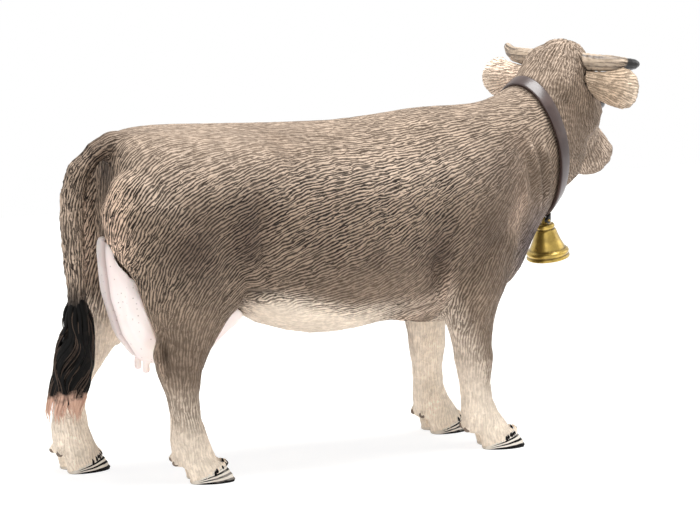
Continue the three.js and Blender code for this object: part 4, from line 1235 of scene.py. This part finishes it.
# in the head's frame: along, out, up; reach; height
head_swellings = {
    "eye socket": (eye_place, (2.1, 2.2, 1.7), -0.9),
    "brow": ((12.4, 6.8, 5.1), (2.6, 2, 1.2), 0.6),
    "cheek": ((11, 7, -4.5), (5, 3, 4.5), 0.5),
    "cheek bone": ((18, 6, -0.6), (4.5, 2, 1.2), 0.5),
    "hollow of the face": ((20, 5, 2.4), (3.5, 2, 2), -0.4),
    "temple": ((8.5, 7, 3.6), (2.4, 2, 2), -0.4),
    "nostril": (nostril_place, (1.1, 1.2, 0.9), -1.0),
    "nostril wing": ((31.4, 4.6, 1.3), (1.2, 1.2, 1.3), 0.45),
    "chin": ((29, 0, -5), (3, 3, 1.6), 0.35),
    "poll": ((2, 0, 9.5), (3, 4, 2.5), 0.5),
}
# paths in the head's frame: path; reach; height
head_folds = {
    "mouth": ([(24.6, 5, -3.2), (28, 5.8, -3), (31.5, 5.6, -2.6), (34, 3.2, -2.2)], 0.5, -0.6),
    "lip": ([(26, 5, -1.9), (29.5, 5.8, -1.6), (32.5, 5, -1.3)], 0.8, 0.35),
    "jaw edge": ([(7, 6, -8), (13, 6, -8.4), (20, 4, -6.6), (26, 3.4, -5.2)], 1.2, 0.35),
    "upper lid": ([(10.9, 8.4, 2.6), (12, 8.3, 4.3), (14.2, 8, 4.4), (15.7, 7.6, 2.9)], 0.5, 0.5),
    "lower lid": ([(10.9, 8.4, 2.4), (12.2, 8.4, 1.1), (14.2, 8.2, 1), (15.7, 7.7, 2.4)], 0.5, 0.4),
    "nose ridge": ([(17, 1.5, 6.4), (24, 1.5, 5), (30, 1.6, 4)], 1.2, 0.25),
}
# in the head's frame: along, out, up; reach in each direction; paint; how strong
head_paints = {
    "poll": ((1, 0, 10), (5, 8, 4), coat_pale, 0.35),
    "forehead": ((12, 0, 9), (6, 5, 4), coat_pale, 0.4),
    "side of the face": ((22, 6, 0), (6, 4, 5), coat_pale, 0.55),
    "round the eye": (eye_place, (3.4, 3, 2.8), coat_pale, 0.6),
    "eye rim": (eye_place, (2.1, 2, 1.6), paint(50, 40, 36), 0.95),
    "cheek": ((15, 7, -3), (6, 4, 4), coat_umber, 0.35),
    "behind the jaw": ((5, 5, -7), (5, 6, 5), coat_umber, 0.45),
    "pale muzzle": ((29, 4, -1), (3, 6, 6), coat_pale, 0.7),
    "dark nose": ((34.5, 0, 0), (3.2, 6, 3.6), paint(66, 58, 58), 0.95),
    "nostril": (nostril_place, (1.3, 1.2, 1), paint(28, 24, 24), 0.95),
    "lower jaw": ((27, 0, -6), (7, 4, 2), coat_pale, 0.6),
}

head_mesh = skin_part("head", "head_hide")
with edited(head_mesh) as shape:
    bmesh.ops.subdivide_edges(shape, edges=shape.edges[:], cuts=1, use_grid_fill=True, smooth=0.2)
head_mesh.transform(head_frame.inverted())
points, normals = points_of(head_mesh), normals_of(head_mesh)
raised = modelled(sided(points, 0), head_swellings, head_folds)
set_points(head_mesh, points + normals * raised[:, None])
local = points_of(head_mesh)
head_mesh.transform(head_frame)
points, normals = points_of(head_mesh), normals_of(head_mesh)
colours = sprayed_coat(points, normals)
for place, reach, colour, strength in head_paints.values():
    colours = covered(colours, strength * near(sided(local, 0), place, reach), colour)
forward = np.array(head_turn @ Vector((1, 0, -0.15)))
ahead = ease(local[:, 0], *face_from)[:, None]
lying = forward * ahead + np.array((-0.25, 0, -1)) * (1 - ahead)
lying += 0.02 * (points - np.array(head_root)) / mm * (1 - ahead)
across = across_hair(lying, normals)
curly = near(local / mm, curl_place, curl_reach)
ruffled = locks(points, across, curl_spacing, curl_length, seed=21)
set_points(head_mesh, points + normals * (curl_height * curly * (ruffled - 0.5))[:, None])
colours = colours * (1 - curl_shade * (curly * ease(0.36 - ruffled, 0, 0.2))[:, None])
bare = 0.3 + 0.5 * ease(local[:, 0], *muzzle_from)
stored(head_mesh, coat=colours, across=across, bare=bare)
capped(head_mesh)
finished(head_mesh, [hide], "figure", "hide", "head")


def eye_material():
    """Glossy dark brown with a black pupil."""
    material, tree, place = fresh_paint("glossy_eye")
    fibres = noise(tree, place, 1500, 3, 0.5)
    iris = mix_paint(tree, fibres, paint(38, 24, 16), paint(70, 46, 30))
    shade = mix_paint(tree, span(tree, read(tree, "rim"), 0.45, 0.6), paint(8, 7, 7), iris)
    surfaced(tree, shade, 0.12, {"Coat Weight": 1, "Coat Roughness": 0.05})
    return material


both_sides = {"right": -1, "left": 1}
eye_paint = eye_material()
for name, side in both_sides.items():
    along, out, up = eye_place
    centre = (along * mm, side * (out - eye_sunk) * mm, up * mm)
    eye_mesh = ball(centre, eye_radii, name + "_eye", rows=32, sides=48)
    from_middle = (points_of(eye_mesh) - centre) / eye_radii[0]
    stored(eye_mesh, rim=np.hypot(from_middle[:, 0], from_middle[:, 2]))
    eye_mesh.transform(head_frame)
    finished(eye_mesh, [eye_paint], "figure", "hide", "head")


# Ears: thin cupped mouldings, each with a root peg glued into the head. Hair runs out from the
# root to the rounded tip; the hollow side faces forwards.
ear_voxel = 0.24 * mm
ear_root = (4.1, 5.8, 3.2)
ear_lock, ear_lock_length, ear_lock_height = 1 * mm, 3 * mm, 0.12 * mm
ear_fan = 9 * mm
# the right ear's darker paint is painted shade and the left ear's paler paint is painted light
ear_paints_lit_and_shaded = {"right": paint(190, 167, 143), "left": paint(250, 225, 202)}
inner_ear = paint(150, 118, 104)


def root_and_reach(node, place, side):
    """Where an ear or a horn leaves the head, and the way to its furthest point."""
    along, out, up = place
    root = np.array(head_frame @ (Vector((along, side * out, up)) * mm))
    solid = points_of(frame["nodes"][node].data)
    return root, solid[lengths(solid - root).argmax()] - root


for name, side in both_sides.items():
    node = name + "_ear"
    ear_mesh = reskinned(node + "_hide", [node], ear_voxel, cover=0.1 * mm, rounds=25)
    points = points_of(ear_mesh)
    root, to_tip = root_and_reach(node, ear_root, side)
    reach = to_tip / np.linalg.norm(to_tip)
    outer = ((points - root) @ reach) / np.linalg.norm(to_tip)
    spread = points - root - ((points - root) @ reach)[:, None] * reach
    flow = reach + spread / ear_fan
    flow /= lengths(flow)
    ridged(ear_mesh, flow, ear_lock, ear_lock_length, ear_lock_height, seed=5 + side)
    normals = normals_of(ear_mesh)
    colours = np.tile(np.array(ear_paints_lit_and_shaded[name][:3]), (len(points), 1))
    colours = covered(colours, 0.35 * ease(outer, 0.6, 1.0), coat_cream)
    inner = 0.45 * ease(normals @ np.array(head_turn @ Vector((1, 0, 0))), 0.2, 0.8)
    colours = covered(colours, inner * (1 - ease(outer, 0.75, 1)), inner_ear)
    bare = np.full(len(points), 0.5)
    stored(ear_mesh, coat=colours, across=across_hair(flow, normals), bare=bare)
    finished(ear_mesh, [hide], "figure", "hide", node)


# Horns: harder pale plastic, each with a root peg glued into the poll. Cream and finely grooved,
# with a glossy black tip. The left one is slimmer and lifts at its end.
horn_voxel = 0.2 * mm
horn_root = (2.4, 3.6, 6.8)
ring_height = 0.05 * mm
line_height = 0.06 * mm
ring_rows, line_rows = 11, 7
tip_step = 0.12 * mm
black_from = {"right": 0.76, "left": 0.93}
horn_slimmer = {"right": 0.0, "left": 0.3}
horn_lift = {"right": 0 * mm, "left": 2.2 * mm}


def horn_material():
    """Cream with dark streaks along the horn, and glossy black past the edge of the tip."""
    material, tree, place = fresh_paint("painted_horn")
    streak = noise(tree, read(tree, "streaks", "Vector"), 1)
    groove = span(tree, streak, 0.4, 0.56, 0.95, 0)
    spots = noise(tree, place, 450)
    cream = mix_paint(tree, spots, paint(202, 181, 158), paint(160, 142, 122))
    cream = mix_paint(tree, groove, cream, paint(72, 58, 46))
    ragged = maths(tree, "MULTIPLY_ADD", spots, 0.12, read(tree, "along"))
    black = span(tree, ragged, 0.05, 0.09)
    shade = mix_paint(tree, black, cream, paint(26, 24, 24))
    surfaced(tree, shade, span(tree, black, 0, 1, 0.5, 0.22), {}, streak, 0.12 * mm, 0.8)
    return material


horn_paint = horn_material()
for name, side in both_sides.items():
    node = name + "_horn"
    horn_mesh = reskinned(node + "_wall", [node], horn_voxel, cover=0.1 * mm, rounds=20)
    points, normals = points_of(horn_mesh), normals_of(horn_mesh)
    root, to_tip = root_and_reach(node, horn_root, side)
    reach = to_tip / np.linalg.norm(to_tip)
    along = ((points - root) @ reach) / np.linalg.norm(to_tip)
    upward = np.array(head_turn @ Vector((0, 0, 1)))
    angle = np.arctan2(normals @ upward, normals @ np.cross(reach, upward))
    streaks = np.column_stack((along * 2.2, np.cos(angle) * 3, np.sin(angle) * 3 + 9 * side))
    rings = np.sin(along * 2 * pi * ring_rows + np.sin(2 * angle)) * (1 - ease(along, 0.3, 0.6))
    lines = np.sin(angle * line_rows + 3 * np.sin(along * 6)) * ease(along, 0.25, 0.5)
    lines *= 1 - ease(along, 0.75, 0.85)
    black = black_from[name]
    depth = ring_height * rings + line_height * lines
    depth -= tip_step * ease(along, black - 0.02, black + 0.02)
    bent = points + normals * depth[:, None]
    middle_line = root + along[:, None] * to_tip
    slim = horn_slimmer[name] * ease(along, 0.35, 1.05) * (along > 0.3)
    bent = bent + (middle_line - bent) * slim[:, None]
    bent = bent + upward * (horn_lift[name] * ease(along, 0.4, 1.1) ** 1.5)[:, None]
    set_points(horn_mesh, bent)
    stored(horn_mesh, along=along - black, streaks=streaks)
    finished(horn_mesh, [horn_paint], "figure", "horn", node)


# Tail: a solid moulding plugged into its root on the rump, which hangs straight down. Strong
# grooves run along it.
tail_ridge = 0.26 * mm
tail_lock, tail_lock_length = 1.1 * mm, 6 * mm
slim_from, slim_end = (38 * mm, 48 * mm), (15 * mm, 20 * mm)
end_raised = 1.2 * mm
tail_black = (37 * mm, 45 * mm)


def tail_middle(heights):
    """The middle of the tail at each height."""
    rows = [np.interp(heights, tail_path[::-1, 2], tail_path[::-1, axis]) for axis in (0, 1)]
    return np.column_stack(rows)


tail_mesh = skin_part("tail", "tail_hide")
points = points_of(tail_mesh)
from_joint = (points - np.array(tail_joint)) @ np.array(tail_way)
height = tail_ridge * ease(from_joint, 0.5 * mm, 5 * mm)
ridged(tail_mesh, tail_combed(points), tail_lock, tail_lock_length, height, seed=9)
points, normals = points_of(tail_mesh), normals_of(tail_mesh)
slim = 0.3 * (1 - ease(points[:, 2], *slim_from))
slim += 0.5 * (1 - ease(points[:, 2], *slim_end))
points[:, :2] += (tail_middle(points[:, 2]) - points[:, :2]) * slim[:, None]
points[:, 2] += end_raised * (1 - ease(points[:, 2], 14 * mm, 20 * mm))
set_points(tail_mesh, points)
along, up = points[:, 0], points[:, 2]
pale = 0.3 * ease(-along, 63 * mm, 66 * mm) * (1 - ease(up, 60 * mm, 68 * mm))
colours = covered(sprayed_coat(points, normals), pale, coat_pale)
colours = covered(colours, 1 - ease(up, *tail_black), paint(16, 14, 13))
bare = -0.15 * ease(up, 56 * mm, 68 * mm)
stored(tail_mesh, coat=colours, across=across_hair(tail_combed(points), normals), bare=bare)
capped(tail_mesh)
finished(tail_mesh, [hide], "figure", "hide", "tail")


# Switch: the brush of long black hair at the tail's end, modelled as wavy locks that part at
# their brown tips. It is part of the tail's moulding.
tip_heights = (21.5 * mm, 16.5 * mm)
lowest_ends = (12.6, 15.6)
wave_lengths = (2.6 * mm, 1.5 * mm)
lock_wave = 0.26
# height of a section in millimetres; half its depth and half its width there
switch_heights = (13, 16, 19.5, 25, 31, 37, 42, 46)
switch_depths = (3.6, 4.1, 4.4, 4.5, 4.1, 3.1, 2.2, 1.8)
switch_widths = (2.2, 2.8, 3.1, 3.2, 3, 2.4, 1.9, 1.7)
# name: how many; start and length of the locks in millimetres; how far out; thickness; flatness
lock_kinds = {
    "switch_locks": (95, (24, 42), (13, 22), 0.88, 0.62 * mm, 0.65),
    "switch_fine_locks": (130, (20, 39), (8, 15), 0.95, 0.14 * mm, 1.0),
}
switch_paints = {
    "switch_locks": hair_material(
        "switch_hair", paint(10, 9, 8), paint(204, 166, 146), paint(32, 27, 24), gloss=0.55,
        tips=tip_heights,
    ),
    "switch_fine_locks": hair_material(
        "switch_fine_hair", paint(74, 62, 54), paint(212, 176, 154), paint(30, 25, 22),
        gloss=0.55, tips=tip_heights,
    ),
}


def hanging_lock(random, start, length, out):
    """A path down the switch's surface, from a height, that waves along with its neighbours."""
    end = max(start - length, random.uniform(*lowest_ends) * mm)
    steps = np.linspace(0, 1, 20)
    heights = start + (end - start) * steps
    deep = np.interp(heights / mm, switch_heights, switch_depths)
    wide = np.interp(heights / mm, switch_heights, switch_widths)
    bearing = random.uniform(0, 2 * pi)
    swing = lock_wave * np.sin(heights / wave_lengths[0] + 2 * bearing)
    swing += 0.5 * lock_wave * np.sin(heights / wave_lengths[1] + 3 * bearing + 1)
    bearing = bearing + swing + random.uniform(-0.12, 0.12) * steps
    lift = out * (0.5 + 0.5 * ease(steps, 0, 0.3))
    lift = lift + random.uniform(-0.03, 0.06) * np.sin(pi * steps)
    around_it = np.column_stack((np.cos(bearing) * deep, np.sin(bearing) * wide))
    return np.column_stack((tail_middle(heights) + around_it * mm * lift[:, None], heights))


random = np.random.default_rng(12)
for name, (count, starts, spans, out, thickness, flatness) in lock_kinds.items():
    paths = [
        hanging_lock(random, random.uniform(*starts) * mm, random.uniform(*spans) * mm, out)
        for _ in range(count)
    ]
    mesh = strand_mesh(name, paths, thickness, switch_paints[name], flatness)
    finished(mesh, [], "figure", "hide", "tail")


# Udder: a separately coloured pale pink moulding with four teats, plugged up between the thighs.
# Smooth, with a groove down its middle and a few specks. It hangs lower at the back.
udder_voxel = 0.3 * mm
udder_drop = 2.2 * mm
teat_top = 28 * mm
teat_shorter = 0.35
groove_reach = 0.8 * mm
quarter_place = -46.2 * mm
quarter_reach = 1.2 * mm
side_groove_out = 4.6 * mm
groove_bend, groove_bend_along = 1.4 * mm, (50 * mm, 56 * mm)
groove_depth, quarter_depth, side_depth = 0.7 * mm, 0.25 * mm, 0.25 * mm
body_bottom = (25.5 * mm, 28 * mm)
drop_along, drop_up = (-45 * mm, -34 * mm), (29 * mm, 43 * mm)


def udder_material():
    """Pale pink, with painted shade in the grooves and a few brown specks."""
    material, tree, place = fresh_paint("painted_udder")
    blush = noise(tree, place, 110, 3, 0.5)
    specks = put(tree, "ShaderNodeTexVoronoi", {"Vector": place, "Scale": 1150}).outputs
    dots = span(tree, specks["Distance"], 0.08, 0.24, 0.6, 0)
    few = span(tree, specks["Color"], 0.5, 0.54)
    # painted shade in the udder's grooves
    deep = maths(tree, "MULTIPLY", read(tree, "crease"), 0.75)
    pink = mix_paint(tree, blush, paint(255, 246, 241), paint(242, 224, 219))
    pink = mix_paint(tree, deep, pink, paint(172, 146, 142))
    pink = mix_paint(tree, maths(tree, "MULTIPLY", dots, few), pink, paint(140, 116, 108))
    soft = {"Subsurface Weight": 0.08, "Subsurface Scale": 1 * mm}
    surfaced(tree, pink, 0.45, soft, blush, 0.15 * mm, 0.6)
    return material


udder_mesh = reskinned("udder_skin", ["udder"], udder_voxel, cover=0.1 * mm, rounds=30)
points, normals = points_of(udder_mesh), normals_of(udder_mesh)
along, across, up = points.T
groove_y = middle_out - groove_bend * ease(-along, *groove_bend_along)
middle_groove = np.exp(-(((across - groove_y) / groove_reach) ** 2))
quarter_groove = np.exp(-(((along - quarter_place) / quarter_reach) ** 2))
side_groove = np.exp(-(((np.abs(across - middle_out) - side_groove_out) / groove_reach) ** 2))
body_part = ease(up, *body_bottom)
depth = (groove_depth * middle_groove + quarter_depth * quarter_groove) * body_part
depth += side_depth * side_groove * ease(-along, 53 * mm, 57 * mm)
points = points - normals * depth[:, None]
along, up = points[:, 0], points[:, 2]
up += ease(teat_top - up, 0, 2 * mm) * (teat_top - up) * teat_shorter
behind = 1 - ease(along, *drop_along)
up -= udder_drop * behind * (1 - ease(up, *drop_up))
set_points(udder_mesh, points)
stored(udder_mesh, crease=np.clip(middle_groove + 0.5 * quarter_groove, 0, 1) * body_part)
finished(udder_mesh, [udder_material()], "figure", "udder", "udder")


# Neck strap: a soft flat band moulded in one piece, slipped over the neck joint. Glossy dark
# brown, with softly rounded edges.
strap_width = 3 * mm
strap_thickness = 0.9 * mm
strap_edge = 0.28 * mm
strap_crown = 0.06 * mm
strap_steps = 220
line_offset = 0.9 * mm
ray_length = 60 * mm
lug_reach = (3.2 * mm, 6 * mm)
strap_evened, lug_evened = 5.0, 1.8


def blurred(row, reach):
    """A closed row of points, evened out along itself."""
    kernel = np.exp(-(np.arange(-12, 13) / reach) ** 2)
    kernel /= kernel.sum()
    evened = [np.convolve(np.tile(column, 3), kernel, "same") for column in row.T]
    return np.stack(evened, 1)[len(row):2 * len(row)]


def strap_line(solid, offset):
    """A row of points round the outside of the strap's solid, beside its middle plane."""
    up = Vector((0, 0, 1))
    first = (up - collar_axis * up.dot(collar_axis)).normalized()
    second = collar_axis.cross(first)
    row = np.full((strap_steps, 3), np.nan)
    for step, angle in enumerate(np.linspace(0, 2 * pi, strap_steps, endpoint=False)):
        way = first * cos(angle) + second * sin(angle)
        start = collar_middle + collar_axis * offset + way * ray_length
        hit = solid.ray_cast(start, -way)[0]
        # a ray that goes in by the stud's hole meets the far side, and is left out
        if hit and (hit - collar_middle).dot(way) > 0:
            row[step] = hit
    met = np.flatnonzero(~np.isnan(row[:, 0]))
    for column in row.T:
        column[:] = np.interp(np.arange(strap_steps), met, column[met])
    lug = np.array(middle_of("bell_hanger"))
    near_lug = 1 - ease(lengths(row - lug), *lug_reach)
    even = blurred(row, strap_evened)
    return even + (blurred(row, lug_evened) - even) * near_lug


def strap_rings():
    """Sections of the band, one after another round the neck."""
    half_width, half_thick = strap_width / 2, strap_thickness / 2
    solid = BVHTree.FromObject(
        frame["nodes"]["collar_strap"], bpy.context.evaluated_depsgraph_get()
    )
    before, middle, ahead = (strap_line(solid, side * line_offset) for side in (-1, 0, 1))
    along = np.roll(middle, -1, 0) - np.roll(middle, 1, 0)
    wide = (ahead - before) / lengths(ahead - before)
    out = np.cross(along, wide)
    out /= lengths(out)
    out *= np.sign(((middle - np.array(collar_middle)) * out).sum(1))[:, None]
    section = []
    flat = half_width - strap_edge
    for quarter, (wide_side, out_side) in enumerate(((1, 1), (-1, 1), (-1, -1), (1, -1))):
        corner = np.array((wide_side * flat, out_side * (half_thick - strap_edge)))
        for angle in np.radians(np.linspace(90 * quarter, 90 * quarter + 90, 6)):
            section.append(corner + strap_edge * np.array((cos(angle), sin(angle))))
        if quarter == 0:
            for share in np.linspace(0.9, -0.9, 9):
                section.append((share * flat, half_thick + strap_crown * (1 - share**2)))
    section = np.array(section)
    centres = middle - out * half_thick
    return centres[:, None] + section[:, :1] * wide[:, None] + section[:, 1:] * out[:, None]


def band_mesh(rings, name):
    """A closed band through rings that follow each other round a loop."""
    count, sides = rings.shape[:2]
    faces = []
    for ring in range(count):
        here, there = ring * sides, (ring + 1) % count * sides
        for side in range(sides):
            after = (side + 1) % sides
            faces.append((here + side, here + after, there + after, there + side))
    return mesh_of(name, rings.reshape(-1, 3), faces)


def moulded_material(name, colour, worn, roughness, shine):
    """Moulded plastic in one colour, with paler patches where it is worn."""
    material, tree, place = fresh_paint(name)
    cloud = noise(tree, place, 300, 4)
    shade = mix_paint(tree, span(tree, cloud, 0.45, 0.75, 0, 0.7), colour, worn)
    gloss = span(tree, cloud, 0, 1, roughness - 0.06, roughness + 0.1)
    surfaced(tree, shade, gloss, shine, cloud, 0.03 * mm)
    return material


strap_mesh = band_mesh(strap_rings(), "neck_strap")
strap_plastic = moulded_material(
    "strap_plastic", paint(58, 42, 39), paint(84, 66, 60), 0.34, {"Coat Weight": 0.15}
)
finished(strap_mesh, [strap_plastic], "figure", "strap", "collar_strap")


# Bell hanger: a small black plastic lug with a stud up into the strap and two cheeks that hold
# the bell's pin.
hanger_voxel = 0.07 * mm
hanger_mesh = reskinned("strap_lug", ["bell_hanger"], hanger_voxel, cover=0, rounds=6)
lug_plastic = moulded_material("lug_plastic", paint(30, 27, 26), paint(62, 56, 52), 0.38, {})
finished(hanger_mesh, [lug_plastic], "figure", "hanger", "bell_hanger")


# Pins: short brass wires, one through the hanger's cheeks that the bell swings on, and one
# across the inside of the bell for the clapper. Their ends are rounded off.
neck_turn = Matrix.Rotation(radians(16), 4, "Z")
bell_tilt = Matrix.Rotation(radians(-9), 4, "Y")
pin_radius = 0.3 * mm
pin_sides = 32
swing_pin_length = 3.4 * mm
swing_frame = Matrix.Translation(middle_of("hanger_pin")) @ neck_turn
bell_frame = swing_frame @ bell_tilt


def turned(profile, sides, name):
    """A closed turned piece about the Z axis, from radii and heights."""
    angle = np.linspace(0, 2 * pi, sides, endpoint=False)
    rings = [
        np.column_stack((radius * np.cos(angle), radius * np.sin(angle), np.full(sides, height)))
        for radius, height in profile
    ]
    return lofted(rings, name)


def pin_mesh(length, name):
    """A wire along the Y axis with rounded ends."""
    end = [
        (pin_radius * sin(angle), length / 2 - pin_radius * 0.7 * (1 - cos(angle)))
        for angle in np.radians((8, 25, 45, 65, 90))
    ]
    made = turned([(r, -z) for r, z in end] + end[::-1], pin_sides, name)
    made.transform(Matrix.Rotation(radians(-90), 4, "X"))
    return made


def brass_material(name, bright, dark, roughness, wash=0.6):
    """Metallic gold with a brown wash in the hollows and a faintly uneven surface."""
    material, tree, place = fresh_paint(name)
    cloud = noise(tree, place, 170, 5)
    share = span(tree, cloud, 0.4, 0.64, 0, 0.65)
    washed = maths(tree, "MULTIPLY_ADD", read(tree, "hollow"), wash, share, clamp=True)
    shade = mix_paint(tree, washed, bright, dark)
    gloss = span(tree, washed, 0, 1, roughness, roughness + 0.25)
    metal = {"Metallic": 0.85, "Coat Weight": 0.4, "Coat Roughness": 0.2}
    surfaced(tree, shade, gloss, metal, cloud, 0.05 * mm, 0.8)
    return material


brass = brass_material("pin_brass", paint(214, 180, 104), paint(120, 90, 50), roughness=0.3)
swing_pin = pin_mesh(swing_pin_length, "swing_pin")
swing_pin.transform(swing_frame)
finished(swing_pin, [brass], "figure", "pin", "hanger_pin")


# Bell: a round, hollow plastic moulding painted gold, with a ring round its crown, two ribs above
# its mouth and a tab on top that the pin goes through.
bell_height = 8 * mm
bell_rim = 5 * mm
bell_wall = 0.6 * mm
crown_drop = 0.82 * mm
bell_sides = 120
bell_depth = crown_drop + bell_height
inner_top = 0.2 * mm
tab_radius = 0.62 * mm
tab_half = 0.45 * mm
tab_hole = 0.38 * mm
tab_edge = 0.08 * mm
full_dip = 0.12 * mm
# radius and depth as shares of the rim's radius and the height, from the crown to the mouth
bell_shares = [
    (0.05, 0), (0.2, 0), (0.33, 0.004), (0.395, 0.022), (0.425, 0.05), (0.438, 0.085),
    (0.43, 0.118), (0.415, 0.138), (0.425, 0.16), (0.465, 0.185), (0.495, 0.22), (0.53, 0.3),
    (0.568, 0.375), (0.61, 0.45), (0.66, 0.525), (0.71, 0.59), (0.755, 0.65), (0.79, 0.7),
    (0.83, 0.735), (0.9, 0.765), (0.945, 0.79), (0.965, 0.82), (0.965, 0.85), (0.945, 0.878),
    (0.932, 0.9), (0.94, 0.92), (0.968, 0.94), (0.982, 0.965), (0.982, 0.985), (0.97, 1),
]


def bell_wall_mesh():
    """The bell's wall, outside and in, with a share for hollows."""
    outer = [(r * bell_rim, -crown_drop - z * bell_height) for r, z in bell_shares]
    fine = []
    for (r0, z0), (r1, z1) in zip(outer, outer[1:]):
        fine += [(r0, z0), (r0 + (r1 - r0) * 0.5, z0 + (z1 - z0) * 0.5)]
    fine.append(outer[-1])
    inner = [
        (r - bell_wall, z - bell_wall)
        for r, z in outer[3:-1] if bell_wall - z < bell_depth - 0.05 * mm
    ]
    inner.append((outer[-1][0] - bell_wall, -bell_depth))
    profile = fine + inner[::-1] + [(inner_top, inner[0][1])]
    radii = np.array([r for r, _ in fine])
    broad = np.convolve(np.pad(radii, 4, "edge"), np.ones(9) / 9, "valid")
    dip = np.clip((broad - radii) / full_dip, 0, 1)
    dip[:8] *= 0.2
    hollow = np.concatenate((dip, np.full(len(profile) - len(fine), 0.7)))
    hollow = np.append(np.repeat(hollow, bell_sides), (0, 0.7))
    return turned(profile, bell_sides, "wall"), hollow


def tab_mesh():
    """The tab on the bell's crown, round above, with its edges broken and a hole through it."""
    foot = -crown_drop - bell_wall / 2
    outline = [(cos(a) * tab_radius, sin(a) * tab_radius) for a in np.linspace(0, pi, 25)]
    outline += [(-tab_radius, foot * t) for t in np.linspace(0, 1, 5)[1:]]
    outline += [(tab_radius, foot * t) for t in np.linspace(1, 0, 5)[:-1]]
    outline = np.array(outline)
    bearing = np.arctan2(outline[:, 1], outline[:, 0])
    hole = np.column_stack((np.cos(bearing), np.sin(bearing))) * tab_hole
    inset = outline * (1 - tab_edge / tab_radius)
    levels = [
        (hole, -tab_half), (inset, -tab_half), (outline, -tab_half + tab_edge),
        (outline, tab_half - tab_edge), (inset, tab_half), (hole, tab_half),
    ]
    rings = [np.column_stack((line[:, 0], np.full(len(line), y), line[:, 1])) for line, y in levels]
    return band_mesh(np.array(rings), "tab")


bell_gold = brass_material(
    "bell_gold", paint(202, 171, 84), paint(90, 70, 18), roughness=0.26, wash=0.9
)
wall, wall_hollow = bell_wall_mesh()
tab = tab_mesh()
bell_shell = joined([wall, tab], "bell_shell")
stored(bell_shell, hollow=np.concatenate((wall_hollow, np.full(len(tab.vertices), 0.3))))
bell_shell.transform(bell_frame)
finished(bell_shell, [bell_gold], "bell", "bell", "bell")


# Clapper: a gold ball on a rod with an eye at the top, made in one piece. It hangs by its eye on
# a second wire pin, which is pressed in across the inside of the bell.
clapper_depth = 1.7 * mm
clapper_drop = 4.3 * mm
clapper_pin_length = 3.6 * mm
rod_radius = 0.3 * mm
ball_radius = 0.95 * mm
eye_outer = 0.75 * mm
eye_hole = 0.38 * mm
eye_half_width = 0.45 * mm
clapper_pivot = bell_frame @ Vector((0, 0, -crown_drop - clapper_depth))
clapper_frame = Matrix.Translation(clapper_pivot) @ neck_turn

clapper_wire = pin_mesh(clapper_pin_length, "clapper_wire")
clapper_wire.transform(clapper_frame)
finished(clapper_wire, [brass], "bell", "pin", "clapper_pin")

rod = [(rod_radius * 0.6, -eye_hole - 0.1 * mm), (rod_radius, -eye_hole - 0.12 * mm)]
rod_end = clapper_drop - ball_radius * cos(0.32)
rod += [(rod_radius, -z) for z in np.linspace(eye_outer, rod_end, 8)]
rod += [
    (ball_radius * sin(angle), -clapper_drop + ball_radius * cos(angle))
    for angle in np.linspace(0.42, pi - 0.08, 22)
]
eye_middle, eye_half = (eye_outer + eye_hole) / 2, (eye_outer - eye_hole) / 2
eye_rings = []
for turn in np.linspace(0, 2 * pi, 48, endpoint=False):
    section = []
    for angle in np.linspace(0, 2 * pi, 20, endpoint=False):
        r = eye_middle + eye_half * np.sign(cos(angle)) * abs(cos(angle)) ** 0.5
        y = eye_half_width * np.sign(sin(angle)) * abs(sin(angle)) ** 0.5
        section.append((r * cos(turn), y, r * sin(turn)))
    eye_rings.append(section)
clapper_mesh = joined(
    [turned(rod, sides=40, name="rod"), band_mesh(np.array(eye_rings), "eye_ring")], "clapper"
)
stored(clapper_mesh, hollow=np.full(len(clapper_mesh.vertices), 0.2))
clapper_mesh.transform(clapper_frame)
finished(clapper_mesh, [brass], "clapper", "bell", "bell_clapper")
